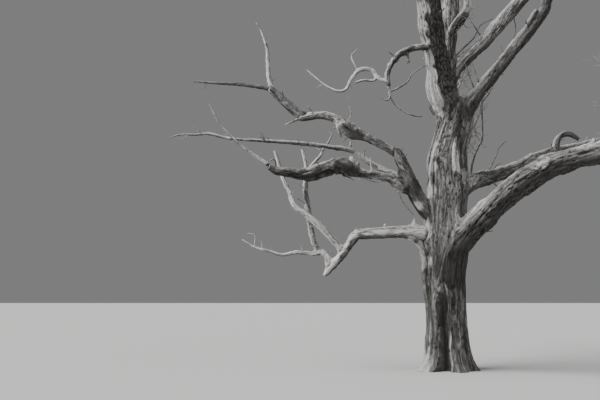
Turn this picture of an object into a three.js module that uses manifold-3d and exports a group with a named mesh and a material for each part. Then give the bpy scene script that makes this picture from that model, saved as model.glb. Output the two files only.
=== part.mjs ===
// A dead, open-grown hardwood tree, bare of leaves, in millimetres with +Z up.
// The origin is on the flat ground cut under the trunk. +X is the tree's right and +Y its back.
import * as THREE from 'three';
import Module from 'manifold-3d';

const wasm = await Module();
wasm.setup();

// Driving sizes
const CLEARANCE = 0.3;
const TRUNK_SIDES = 32;
const FORK_HEIGHT = 5450;
const FLARE = { height: 270, spread: 0.42, halfAngle: 22 };
const HOLLOW = { bearing: -112, halfAngle: 15, brim: 0.55, top: 1640, fade: 500, depth: 0.62 };
const GROOVE = { bearing: -80, halfAngle: 9, brim: 0.3, top: 1500, foot: 300, fade: 300, depth: 0.22 };
const STEPS_PER_SPAN = 2;

// Heights up the trunk, with the middle across the front and the full width there
const TRUNK = [
  [0, -10, 900], [200, -5, 870], [470, 5, 840], [960, 0, 810], [1350, -10, 830], [1740, -20, 880],
  [2140, 10, 940], [2530, 30, 960], [2820, 50, 920], [3140, 65, 870], [3750, 110, 840],
  [4170, 120, 810], [4380, 150, 770], [4800, 270, 750], [5050, 300, 700], [5250, 305, 590],
  [FORK_HEIGHT, 305, 330],
];
const TRUNK_DEPTH = 0.94;
const TRUNK_FLUTES = [
  { count: 5, depth: 0.035, turn: 20, start: 10 },
  { count: 9, depth: 0.02, turn: -12, start: 75 },
];
const BUTTRESSES = [-158, -128, -72, -18, 38, 95, 150];

const SILVER = { color: 0x9b9894, roughness: 0.86, metalness: 0 };
const PALE = { color: 0xb9b6b0, roughness: 0.84, metalness: 0 };
const DARK = { color: 0x5d5a57, roughness: 0.9, metalness: 0 };
const TWIG = { color: 0x86837f, roughness: 0.88, metalness: 0 };

// Each limb has where it starts in its carrier, then places along it with the thickness there
const LIMBS = [
  // The four leaders and the rear leader that rise out of the fork
  ['leader_left', SILVER, 10, [[215, 0, 4560, 460], [140, -10, 5150, 590], [10, -50, 5630, 600],
    [-50, -100, 6040, 510], [-120, -200, 6430, 480], [-210, -320, 6920, 490],
    [-280, -450, 7410, 500], [-400, -560, 8150, 430]]],
  ['leader_right_low', SILVER, 8, [[440, -40, 4780, 330], [500, -60, 5120, 350], [690, -100, 5460, 300],
    [1070, -200, 5940, 270], [1450, -300, 6400, 270], [1840, -420, 6880, 250],
    [2060, -520, 7160, 215], [2130, -600, 7420, 215], [2450, -850, 7950, 180]]],
  ['leader_right_high', PALE, 8, [[170, 200, 4980, 340], [165, 200, 5450, 340], [235, 215, 5820, 290],
    [395, 240, 6150, 265], [560, 270, 6360, 275], [760, 300, 6560, 295], [1130, 350, 6910, 300],
    [1520, 400, 7360, 310], [1930, 450, 7830, 310], [2350, 540, 8450, 270]]],
  ['stub_right_low', SILVER, 6, [[1740, -400, 6740, 90], [1735, -500, 6890, 105], [1800, -530, 7020, 95],
    [1875, -560, 7140, 80]]],
  ['leader_middle', SILVER, 8, [[270, 180, 5740, 250], [285, 190, 6150, 235], [280, 200, 6590, 195],
    [350, 210, 7020, 190], [540, 190, 7290, 215], [660, 140, 7540, 185],
    [680, 40, 7960, 160], [760, -260, 8600, 125]]],
  ['leader_rear', SILVER, 8, [[180, 230, 5200, 330], [250, 380, 6000, 330], [330, 560, 6900, 350],
    [440, 760, 7640, 400], [520, 980, 8250, 370], [580, 1350, 8900, 310]]],

  // The crown above the leaders
  ['crown_left_top', SILVER, 6, [[-330, -520, 7900, 330], [-390, -640, 8500, 320], [-250, -720, 9200, 250],
    [-340, -620, 9850, 180], [-200, -560, 10350, 120]]],
  ['crown_left_out', SILVER, 6, [[-360, -500, 7850, 260], [-620, -500, 8500, 250], [-1120, -620, 9100, 195],
    [-1500, -560, 9700, 140], [-2050, -700, 10150, 85]]],
  ['crown_left_front', SILVER, 6, [[-340, -560, 7800, 220], [-520, -900, 8250, 215], [-820, -1500, 8600, 165],
    [-900, -2100, 9150, 120], [-1250, -2650, 9450, 75]]],
  ['crown_rear_top', SILVER, 6, [[560, 1230, 8700, 270], [600, 1500, 9150, 250], [420, 1850, 9850, 180],
    [560, 2200, 10500, 105]]],
  ['crown_rear_left', SILVER, 6, [[560, 1250, 8680, 210], [300, 1620, 9150, 200], [-250, 2150, 9500, 150],
    [-620, 2750, 10000, 100]]],
  ['crown_right_top', PALE, 6, [[2280, 520, 8330, 230], [2600, 640, 8850, 210], [2880, 560, 9500, 160],
    [3250, 700, 10080, 100]]],
  ['crown_right_rear', PALE, 6, [[2260, 520, 8350, 180], [2700, 900, 8700, 170], [3300, 1500, 9000, 130],
    [3750, 2150, 9450, 80]]],
  ['crown_right_out', SILVER, 6, [[2400, -800, 7880, 150], [2800, -1020, 8250, 150], [3450, -1150, 8520, 115],
    [4050, -1450, 8950, 70]]],
  ['crown_right_front', SILVER, 6, [[2380, -780, 7860, 130], [2560, -1250, 8300, 130],
    [2380, -1900, 8750, 95], [2520, -2550, 9200, 60]]],

  // The two great boughs to the right and the one straight back
  ['bough_right_front', SILVER, 10, [[-20, 0, 1500, 300], [20, -60, 1980, 400], [120, -200, 2320, 500],
    [350, -430, 2620, 510], [720, -850, 3070, 480], [1050, -1200, 3390, 470], [1440, -1640, 3645, 440],
    [1760, -2030, 3760, 405], [2130, -2550, 3770, 390], [2560, -3120, 3740, 360]]],
  ['bough_right_front_end', SILVER, 8, [[2480, -3010, 3745, 320], [3150, -3560, 3720, 320],
    [3800, -4030, 3870, 270], [4400, -4420, 4250, 205], [5050, -4700, 4500, 130]]],
  ['bough_right_front_fork', SILVER, 6, [[3080, -3480, 3740, 190], [3500, -3420, 4050, 185],
    [4100, -3250, 4500, 140], [4600, -2900, 5150, 90]]],
  ['bough_right_rear', SILVER, 8, [[120, 80, 3330, 360], [640, 400, 3740, 350], [1050, 700, 3920, 320],
    [1610, 1100, 4120, 315], [2200, 1500, 4380, 310], [2810, 1900, 4680, 300],
    [3560, 2350, 4900, 285], [4330, 2800, 5150, 265]]],
  ['bough_right_rear_end', SILVER, 6, [[4200, 2725, 5108, 230], [4950, 3150, 5350, 225],
    [5700, 3450, 5500, 170], [6500, 3900, 5950, 95]]],
  ['bough_right_rear_fork', SILVER, 6, [[4880, 3080, 5320, 150], [5300, 3600, 5850, 160],
    [5420, 4150, 6350, 120], [5850, 4600, 6900, 75]]],
  ['stub_arched', SILVER, 6, [[3110, 2000, 4770, 150], [3130, 1960, 5020, 145], [3280, 1960, 5180, 140],
    [3490, 1980, 5190, 130], [3660, 2000, 5080, 95]]],
  ['shoot_right_tall', SILVER, 5, [[620, 410, 3800, 70], [700, 470, 4060, 66], [780, 500, 4340, 58],
    [890, 520, 4560, 52], [985, 540, 4780, 46], [1005, 550, 5380, 36], [1035, 550, 5575, 32],
    [1150, 550, 5710, 26], [1290, 550, 5955, 16]]],
  ['bough_rear', SILVER, 8, [[80, 60, 3750, 330], [280, 700, 4150, 330], [600, 1700, 4450, 285],
    [1020, 2900, 4950, 235], [1350, 3900, 5600, 160], [1800, 4700, 6000, 100]]],
  ['bough_rear_fork', SILVER, 6, [[880, 2500, 4780, 170], [980, 3150, 5400, 165], [1080, 3850, 6200, 125],
    [1380, 4350, 6900, 75]]],

  // The low left bough, its drop and what grows from it
  ['bough_left_low', PALE, 8, [[-60, -40, 2560, 300], [-420, -90, 2660, 290], [-830, -120, 2690, 250],
    [-1290, -150, 2660, 235], [-1740, -150, 2650, 215]]],
  ['bough_left_drop', PALE, 8, [[-1640, -150, 2650, 190], [-1800, -155, 2610, 190], [-1950, -170, 2400, 165],
    [-2130, -200, 2160, 165], [-2310, -220, 1970, 150], [-2430, -245, 1810, 70]]],
  ['limb_left_rising', PALE, 6, [[-2060, -190, 2290, 120], [-2280, -220, 2550, 130], [-2530, -250, 2810, 130],
    [-2790, -250, 3020, 120], [-3010, -240, 3190, 115], [-3110, -200, 3460, 95],
    [-3250, -190, 3780, 90], [-3340, -150, 4100, 80], [-3410, -100, 4330, 65]]],
  ['limb_left_upturn', PALE, 6, [[-2300, -220, 1950, 130], [-2350, -205, 2090, 155], [-2395, -170, 2220, 145],
    [-2480, -150, 2290, 130], [-2660, -150, 2250, 90], [-2960, -150, 2280, 75],
    [-3260, -150, 2230, 62], [-3530, -150, 2310, 52], [-3810, -120, 2390, 40],
    [-4040, -100, 2530, 24]]],
  ['limb_left_grey', PALE, 6, [[-2490, -150, 2290, 100], [-2610, -130, 2450, 120],
    [-2700, -80, 2830, 120], [-2740, -50, 3170, 135], [-2790, 0, 3550, 115], [-2765, 50, 3970, 95],
    [-2840, 100, 4400, 70]]],
  ['limb_left_grey_fork', PALE, 5, [[-2765, 40, 3930, 60], [-2675, 60, 4060, 72], [-2490, 190, 4285, 62],
    [-2400, 340, 4490, 52], [-2300, 400, 4645, 42], [-2230, 410, 4795, 30], [-2275, 425, 4860, 18]]],

  // The middle left bough, its arch and the raised end
  ['bough_left_middle', SILVER, 8, [[60, -40, 2900, 290], [-320, -80, 3090, 330], [-550, -80, 3390, 300],
    [-710, -50, 3800, 280], [-830, 0, 4130, 235], [-930, 30, 4370, 160]]],
  ['bough_left_arch', PALE, 8, [[-850, 15, 4210, 140], [-1090, 50, 4420, 170], [-1440, 80, 4620, 180],
    [-1630, 90, 4700, 220], [-1790, 100, 4780, 320], [-1940, 110, 4880, 330], [-2080, 130, 5010, 240],
    [-2200, 145, 5090, 195], [-2400, 160, 5155, 185], [-2650, 200, 5150, 170], [-2880, 220, 5105, 130]]],
  ['limb_left_raised', SILVER, 6, [[-2730, 205, 5130, 120], [-2960, 240, 5240, 180], [-3240, 300, 5500, 185],
    [-3490, 350, 5740, 150]]],
  ['limb_left_spire', PALE, 5, [[-3420, 335, 5680, 90], [-3550, 390, 5980, 100], [-3590, 450, 6370, 88],
    [-3620, 500, 6750, 68], [-3750, 550, 7160, 44], [-3860, 580, 7350, 22]]],
  ['limb_left_feeler', SILVER, 5, [[-3400, 340, 5690, 80], [-3620, 400, 5810, 98], [-3900, 480, 5890, 86],
    [-4290, 600, 5970, 76], [-4760, 750, 6040, 56], [-5250, 900, 6130, 26]]],

  // The two limbs that cross to the left from the middle bough
  ['limb_left_dark', DARK, 8, [[-660, -70, 3480, 150], [-880, -130, 3600, 200], [-1060, -220, 3710, 200],
    [-1240, -320, 3765, 175], [-1530, -460, 3780, 170], [-1870, -660, 3805, 200], [-2050, -770, 3865, 285],
    [-2260, -850, 3875, 285], [-2580, -900, 3755, 290], [-2840, -950, 3690, 215],
    [-3120, -1000, 3730, 195], [-3350, -1060, 3745, 160], [-3480, -1110, 3810, 110]]],
  ['stub_left_pale', PALE, 6, [[-1890, -700, 3800, 150], [-1890, -715, 3900, 120], [-1900, -720, 4000, 80],
    [-1908, -720, 4100, 45]]],
  ['limb_left_stick', SILVER, 5, [[-3380, -1095, 3790, 60], [-3590, -1130, 3920, 58],
    [-3850, -1160, 4090, 50], [-4090, -1200, 4270, 44], [-4390, -1250, 4590, 36], [-4590, -1300, 4960, 20]]],
  ['limb_left_long', SILVER, 6, [[-690, -10, 3720, 110], [-980, 60, 3890, 130], [-1260, 100, 4020, 125],
    [-1560, 130, 4210, 120], [-1830, 160, 4400, 118], [-2280, 200, 4490, 100], [-2940, 250, 4580, 90],
    [-3630, 300, 4640, 76], [-3980, 340, 4672, 72], [-4270, 370, 4695, 70], [-4540, 400, 4745, 66],
    [-4840, 430, 4825, 62], [-5100, 450, 4810, 48], [-5420, 480, 4820, 36], [-5640, 500, 4770, 18]]],

  // The upper left limb that curls down from the left leader
  ['limb_left_curl', DARK, 6, [[-130, -260, 6460, 130], [-480, -440, 6400, 135], [-800, -550, 6280, 120],
    [-1000, -620, 6100, 115], [-1120, -680, 5920, 105], [-1185, -720, 5700, 95], [-1165, -750, 5510, 72]]],
  ['limb_left_hook', PALE, 6, [[-1160, -745, 5560, 75], [-1380, -730, 5680, 85], [-1490, -720, 5820, 85],
    [-1710, -700, 5840, 80], [-1880, -680, 5670, 64], [-2000, -670, 5450, 56], [-2180, -660, 5420, 48],
    [-2430, -640, 5560, 38], [-2760, -600, 5860, 24]]],
];

// Each twig mass has the limb tip that carries it, its seed, its reach and how far it turns up
const MASSES = [
  ['mass_left_top', 'crown_left_top', 11, 1300, 0.5],
  ['mass_left_out', 'crown_left_out', 23, 1400, 0.35],
  ['mass_left_front', 'crown_left_front', 37, 1300, 0.3],
  ['mass_middle', 'leader_middle', 41, 1400, 0.4],
  ['mass_rear_top', 'crown_rear_top', 53, 1300, 0.45],
  ['mass_rear_left', 'crown_rear_left', 67, 1400, 0.3],
  ['mass_right_top', 'crown_right_top', 71, 1350, 0.4],
  ['mass_right_rear', 'crown_right_rear', 83, 1350, 0.3],
  ['mass_right_out', 'crown_right_out', 97, 1350, 0.25],
  ['mass_right_front', 'crown_right_front', 101, 1250, 0.3],
  ['mass_bough_front', 'bough_right_front_end', 113, 1500, 0.25],
  ['mass_bough_fork', 'bough_right_front_fork', 127, 1400, 0.3],
  ['mass_bough_right', 'bough_right_rear_end', 131, 1450, 0.25],
  ['mass_bough_right_fork', 'bough_right_rear_fork', 149, 1350, 0.35],
  ['mass_rear_low', 'bough_rear', 151, 1300, 0.3],
  ['mass_rear_high', 'bough_rear_fork', 163, 1250, 0.4],
];

// How twigs branch: lengths and places are shares of the shoot that carries them, angles in degrees
const SHOOTS = {
  on: [5, 1, 0],
  steps: 3,
  sides: 3,
  stemSides: 5,
  stemLength: 1.25,
  middle: 0.55,
  firstAt: 0.3,
  lastAt: 0.95,
  length: 0.55,
  shorter: 0.5,
  width: 0.7,
  thinner: 0.6,
  spread: 48,
  turn: 137.5,
  levelTurn: 52.5,
  turnRange: 60,
  wander: 0.55,
  lift: 0.3,
};
const TWIG_TIP = 9;
const TWIG_FOOT = 14;
const TWIG_GAP = 25;
const SEED_STEP = 16807;
const SEED_RANGE = 2147483647;

const radians = THREE.MathUtils.degToRad;
const place = ([x, y, z]) => new THREE.Vector3(x, y, z);

// A closed skin over rings of points, with a flat cap at each end
function closedSkin(rings) {
  const sides = rings[0].length;
  const last = (rings.length - 1) * sides;
  const indices = [];
  for (let ring = 0; ring < last; ring += sides) {
    for (let side = 0; side < sides; side += 1) {
      const next = (side + 1) % sides;
      indices.push(ring + side, ring + next, ring + sides + next);
      indices.push(ring + side, ring + sides + next, ring + sides + side);
    }
  }
  for (let side = 1; side < sides - 1; side += 1) {
    indices.push(0, side + 1, side);
    indices.push(last, last + side, last + side + 1);
  }
  const corners = rings.flat().flatMap((corner) => [corner.x, corner.y, corner.z]);
  return new wasm.Manifold(new wasm.Mesh({
    numProp: 3,
    vertProperties: new Float32Array(corners),
    triVerts: new Uint32Array(indices),
  }));
}

// Rings square to a line of points, each turned as little as it can be from the one before
function ringsAlong(points, widths, sides) {
  const ahead = points.map((point, i) => {
    const from = points[Math.max(i - 1, 0)];
    const to = points[Math.min(i + 1, points.length - 1)];
    return to.clone().sub(from).normalize();
  });
  const across = new THREE.Vector3(0, 1, 0);
  return points.map((point, i) => {
    across.addScaledVector(ahead[i], -across.dot(ahead[i])).normalize();
    const up = ahead[i].clone().cross(across);
    return Array.from({ length: sides }, (unused, side) => {
      const angle = (2 * Math.PI * side) / sides;
      return point.clone()
        .addScaledVector(across, (widths[i] / 2) * Math.cos(angle))
        .addScaledVector(up, (widths[i] / 2) * Math.sin(angle));
    });
  });
}

// A limb's middle line and its thickness, smooth through the stated places
function limbLine(stations, stepsPerSpan) {
  const curve = new THREE.CatmullRomCurve3(stations.map(place), false, 'catmullrom', 0.5);
  const steps = (stations.length - 1) * stepsPerSpan;
  const points = [];
  const widths = [];
  for (let step = 0; step <= steps; step += 1) {
    const along = step / stepsPerSpan;
    const span = Math.min(Math.floor(along), stations.length - 2);
    points.push(curve.getPoint(step / steps));
    widths.push(THREE.MathUtils.lerp(stations[span][3], stations[span + 1][3], along - span));
  }
  return { points, widths };
}

function limbSolid(line, sides, swell) {
  const points = line.points.map((point) => point.clone());
  const end = points.length - 1;
  const tip = points[end].clone().sub(points[end - 1]).normalize();
  points[end].addScaledVector(tip, swell);
  return closedSkin(ringsAlong(points, line.widths.map((width) => width + 2 * swell), sides));
}

// How far a bearing is from another, in degrees
function bearingGap(bearing, other) {
  return Math.abs(((bearing - other + 540) % 360) - 180);
}

// Eases from 0 at one value to 1 at another, which may be the lower
function rise(from, to, value) {
  const share = THREE.MathUtils.clamp((value - from) / (to - from), 0, 1);
  return share * share * (3 - 2 * share);
}

// How much wider or narrower than its plain oval the trunk is at a bearing and a height
function trunkShape(bearing, height) {
  let shape = 1;
  for (const flute of TRUNK_FLUTES) {
    const turned = bearing + flute.start + (flute.turn * height) / 1000;
    shape += flute.depth * Math.cos(radians(flute.count * turned));
  }
  const flare = Math.exp(-height / FLARE.height);
  for (const buttress of BUTTRESSES) {
    shape += FLARE.spread * flare * Math.exp(-((bearingGap(bearing, buttress) / FLARE.halfAngle) ** 2));
  }
  const hollow = 1 - rise(HOLLOW.brim, 1, bearingGap(bearing, HOLLOW.bearing) / HOLLOW.halfAngle);
  shape -= HOLLOW.depth * hollow * rise(HOLLOW.top, HOLLOW.top - HOLLOW.fade, height);
  const groove = 1 - rise(GROOVE.brim, 1, bearingGap(bearing, GROOVE.bearing) / GROOVE.halfAngle);
  const foot = rise(GROOVE.foot, GROOVE.foot + GROOVE.fade, height);
  return shape - GROOVE.depth * groove * foot * rise(GROOVE.top, GROOVE.top - GROOVE.fade, height);
}

function trunkSolid(swell) {
  const rings = TRUNK.map(([height, middle, width], i) => {
    const lift = i === 0 ? -swell : i === TRUNK.length - 1 ? swell : 0;
    return Array.from({ length: TRUNK_SIDES }, (unused, side) => {
      const bearing = (360 * side) / TRUNK_SIDES;
      const reach = (width / 2) * trunkShape(bearing, height) + swell;
      return new THREE.Vector3(
        middle + reach * Math.cos(radians(bearing)),
        TRUNK_DEPTH * reach * Math.sin(radians(bearing)),
        height + lift,
      );
    });
  });
  return closedSkin(rings);
}

// The largest of the pieces that a cut leaves, without its loose scraps
function wholePiece(solid) {
  return solid.decompose().reduce((most, piece) => (piece.volume() > most.volume() ? piece : most));
}

// Whether two solids could meet, from their boxes
function boxesMeet(one, other) {
  const a = one.boundingBox();
  const b = other.boundingBox();
  return [0, 1, 2].every((axis) => a.min[axis] < b.max[axis] && b.min[axis] < a.max[axis]);
}

// Evenly spread numbers from 0 to 1, the same in every run
function seeded(seed) {
  let state = seed;
  return () => {
    state = (state * SEED_STEP) % SEED_RANGE;
    return state / SEED_RANGE;
  };
}

// One crooked shoot, which wanders and lifts from step to step
function shootPoints(start, heading, length, turnUp, random) {
  const points = [start.clone()];
  const way = heading.clone();
  for (let step = 0; step < SHOOTS.steps; step += 1) {
    const wander = new THREE.Vector3(random() - 0.5, random() - 0.5, random() - 0.5);
    way.addScaledVector(wander, SHOOTS.wander);
    way.z += SHOOTS.lift * turnUp;
    way.normalize();
    points.push(points[step].clone().addScaledVector(way, length / SHOOTS.steps));
  }
  return points;
}

// Whether every point of a shoot is inside the mass's round space and off the limbs
function fits(points, mass) {
  return points.every((point) => point.distanceTo(mass.middle) < mass.reach
    && mass.limbPoints.every(([limb, half]) => point.distanceTo(limb) > half + TWIG_GAP));
}

// Adds a shoot's side shoots, each a shorter and thinner copy of it, at a steady turn round it
function growShoots(grown, parent, level, mass, random) {
  for (let n = 0; n < SHOOTS.on[level]; n += 1) {
    const along = SHOOTS.firstAt + ((SHOOTS.lastAt - SHOOTS.firstAt) * (n + random())) / SHOOTS.on[level];
    const step = Math.min(Math.floor(along * SHOOTS.steps), SHOOTS.steps - 1);
    const from = parent.points[step];
    const to = parent.points[step + 1];
    const start = from.clone().lerp(to, along * SHOOTS.steps - step);
    const ahead = to.clone().sub(from).normalize();
    const side = new THREE.Vector3(ahead.y, -ahead.x, 0.2).cross(ahead).normalize();
    const turn = SHOOTS.turn * n + SHOOTS.levelTurn * level + SHOOTS.turnRange * random();
    side.applyAxisAngle(ahead, radians(turn));
    const spread = radians(SHOOTS.spread * (0.75 + 0.5 * random()));
    const heading = ahead.clone().multiplyScalar(Math.cos(spread)).addScaledVector(side, Math.sin(spread));
    const shorter = (1.15 - SHOOTS.shorter * along) * (0.8 + 0.4 * random());
    const length = parent.length * SHOOTS.length * shorter;
    const width = Math.max(parent.width * (1 - SHOOTS.thinner * along) * SHOOTS.width, TWIG_FOOT);
    const points = shootPoints(start, heading, length, mass.turnUp, random);
    if (fits(points, mass)) {
      const shoot = { points, length, width };
      grown.push(shoot);
      growShoots(grown, shoot, level + 1, mass, random);
    }
  }
}

// A mass of twigs on one stem, which starts square to its limb's tip and just clear of it
function massSolid(tip, seed, reach, turnUp, limbPoints) {
  const random = seeded(seed);
  const start = tip.point.clone().addScaledVector(tip.heading, CLEARANCE);
  const middle = tip.point.clone().addScaledVector(tip.heading, SHOOTS.middle * reach);
  const length = SHOOTS.stemLength * reach;
  const points = shootPoints(start, tip.heading, length, turnUp, random);
  points[1].copy(start).addScaledVector(tip.heading, length / SHOOTS.steps);
  const stem = { points, length, width: tip.width };
  const grown = [stem];
  growShoots(grown, stem, 0, { middle, reach, turnUp, limbPoints }, random);
  return grown
    .map((shoot) => {
      const widths = shoot.points.map((point, i) => (
        THREE.MathUtils.lerp(shoot.width, TWIG_TIP, i / SHOOTS.steps)));
      return closedSkin(ringsAlong(shoot.points, widths, shoot === stem ? SHOOTS.stemSides : SHOOTS.sides));
    })
    .reduce((whole, shoot) => whole.add(shoot));
}

function meshOf(name, solid, finish) {
  const { vertProperties, triVerts } = solid.getMesh();
  const geometry = new THREE.BufferGeometry();
  geometry.setAttribute('position', new THREE.BufferAttribute(vertProperties, 3));
  geometry.setIndex(new THREE.BufferAttribute(triVerts, 1));
  geometry.computeVertexNormals();
  const mesh = new THREE.Mesh(geometry, new THREE.MeshStandardMaterial(finish));
  mesh.name = name;
  return mesh;
}

const tree = new THREE.Group();
tree.add(meshOf('trunk', trunkSolid(0), SILVER));

// Each limb is cut clear of the trunk and of the limbs made before it
const swollen = [trunkSolid(CLEARANCE)];
const tips = new Map();
const limbPoints = [];
for (const [name, finish, sides, stations] of LIMBS) {
  const line = limbLine(stations, STEPS_PER_SPAN);
  let solid = limbSolid(line, sides, 0);
  for (const other of swollen) {
    if (boxesMeet(solid, other)) solid = solid.subtract(other);
  }
  tree.add(meshOf(name, wholePiece(solid), finish));
  swollen.push(limbSolid(line, sides, CLEARANCE));
  const end = line.points.length - 1;
  const heading = line.points[end].clone().sub(line.points[end - 1]).normalize();
  tips.set(name, { point: line.points[end], heading, width: line.widths[end] });
  line.points.slice(0, end - 1).forEach((point, i) => limbPoints.push([point, line.widths[i] / 2]));
}

for (const [name, carrier, seed, reach, turnUp] of MASSES) {
  tree.add(meshOf(name, massSolid(tips.get(carrier), seed, reach, turnUp, limbPoints), TWIG));
}

export default tree;
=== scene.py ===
import math

import bpy
import numpy as np
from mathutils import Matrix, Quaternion, Vector


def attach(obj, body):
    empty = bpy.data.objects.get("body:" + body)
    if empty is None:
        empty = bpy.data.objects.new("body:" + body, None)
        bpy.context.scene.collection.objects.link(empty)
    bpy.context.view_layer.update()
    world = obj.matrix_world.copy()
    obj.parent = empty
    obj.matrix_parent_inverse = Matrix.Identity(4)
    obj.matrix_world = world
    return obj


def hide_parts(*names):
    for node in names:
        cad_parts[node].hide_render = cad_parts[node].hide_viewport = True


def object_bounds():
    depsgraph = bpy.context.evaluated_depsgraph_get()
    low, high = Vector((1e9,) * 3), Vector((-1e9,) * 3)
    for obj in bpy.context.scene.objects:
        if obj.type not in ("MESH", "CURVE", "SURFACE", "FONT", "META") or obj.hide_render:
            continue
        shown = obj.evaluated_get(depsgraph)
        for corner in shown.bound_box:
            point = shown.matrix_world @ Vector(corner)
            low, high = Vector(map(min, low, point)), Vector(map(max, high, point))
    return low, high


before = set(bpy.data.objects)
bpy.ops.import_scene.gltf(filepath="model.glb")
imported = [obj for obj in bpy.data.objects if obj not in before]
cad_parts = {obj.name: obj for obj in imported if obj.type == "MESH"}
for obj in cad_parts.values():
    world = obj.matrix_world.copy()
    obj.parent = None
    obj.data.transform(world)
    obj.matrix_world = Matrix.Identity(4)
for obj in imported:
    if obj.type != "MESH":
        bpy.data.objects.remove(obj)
cad_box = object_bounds()

# The view
# The tree is seen from 13.3 m in front and 2.9 m to its left, at eye height. The camera looks straight
# back and 8.3 degrees up, so the trunk stands right of the middle and the crown leaves the frame.
EYE = (-2.9, -13.33, 1.4)
LOOK_UP = 8.3
LENS_MM = 40
SENSOR_MM = 36

eye = bpy.data.objects.new("eye", bpy.data.cameras.new("eye"))
eye.location = EYE
eye.rotation_euler = (math.radians(90 + LOOK_UP), 0, 0)
eye.data.lens = LENS_MM
eye.data.sensor_width = SENSOR_MM
bpy.context.scene.collection.objects.link(eye)
bpy.context.scene.camera = eye

# The trunk
# A short, thick bole of a hardwood that died long ago. It has lost nearly all its bark, and its bare
# wood is fluted, cracked along the grain and weathered silver. Root ridges flare out at the foot, and
# a hollow opens in front at the ground.
FORK_HEIGHT = 5.45
# Heights, how far the middle stands to the right, and widths
TRUNK = [
    (0, -0.01, 0.9), (0.2, -0.005, 0.87), (0.47, 0.005, 0.84), (0.96, 0, 0.81), (1.35, -0.01, 0.83),
    (1.74, -0.02, 0.88), (2.14, 0.01, 0.94), (2.53, 0.03, 0.96), (2.82, 0.05, 0.92),
    (3.14, 0.065, 0.87), (3.75, 0.11, 0.84), (4.17, 0.12, 0.81), (4.38, 0.15, 0.77),
    (4.8, 0.27, 0.75), (5.05, 0.3, 0.7), (5.25, 0.305, 0.59), (FORK_HEIGHT, 0.305, 0.33),
]
TRUNK_DEPTH = 0.94
# How many flutes there are, their depth, their turn in degrees to a metre of height, and their bearing
TRUNK_FLUTES = [(5, 0.035, 20, 10), (9, 0.02, -12, 75)]
# The root ridges' bearings, and how high and wide they flare
BUTTRESSES = [-158, -128, -72, -18, 38, 95, 150]
FLARE = {"height": 0.27, "spread": 0.42, "half_angle": 22}
# The hollow and the groove beside it: bearings and half widths in degrees, the share of these at which
# the brim starts, heights in metres and depths as shares of the radius
HOLLOW = {"bearing": -112, "half_angle": 15, "brim": 0.55, "top": 1.64, "fade": 0.5, "depth": 0.62}
GROOVE = {"bearing": -80, "half_angle": 9, "brim": 0.3, "top": 1.5, "foot": 0.3, "fade": 0.3, "depth": 0.22}
# Both wander in two waves up the trunk, of these rates and degrees
WANDER = [(4.1, 3.0), (11.3, 2.2)]
# How deep the hollow is where its shade sets in and is full, and how strong that is
HOLLOW_DARK = {"from": 0.08, "to": 0.5, "amount": 0.8}
# The rows and columns of the trunk's mesh, and the steps that smooth any limb's line
TRUNK_COLUMNS = 256
TRUNK_ROW = 0.02
STEPS_PER_SPAN = 24

# Each knot is a place, a size, how far it stands out and the depth of its hole
KNOTS = [
    (0.1, -0.36, 4.97, 0.12, 0.04, 0.09), (-0.1, -0.36, 4.25, 0.11, 0.05, 0),
    (0.34, -0.28, 3.79, 0.16, 0.05, 0), (-0.19, -0.41, 1.53, 0.12, 0.03, 0),
    (-0.3, 0.22, 3.6, 0.14, 0.05, 0.08), (0.32, 0.25, 2.5, 0.2, 0.06, 0),
    (1.37, -1.83, 3.71, 0.15, 0.07, 0), (-1.9, -0.05, 4.78, 0.27, 0.01, 0.19),
    (-1.73, -0.03, 4.65, 0.25, 0.01, 0.17), (-0.97, -0.24, 3.6, 0.12, 0.08, 0),
    (-2.05, -0.88, 3.92, 0.24, 0.05, 0),
]
# The shape of any knot: distances in it as shares of its size, and its groove's depth in metres
KNOT = {
    "dome": 2.5, "collar": 0.3, "collar_at": 1.05, "collar_width": 0.15, "groove_at": 0.78,
    "groove_width": 0.12, "groove_depth": 0.014, "full_height": 0.07, "hole": (0.4, 0.72),
    "bend": (0.5, 0.5, 1.2), "torn": 0.3,
}
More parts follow.
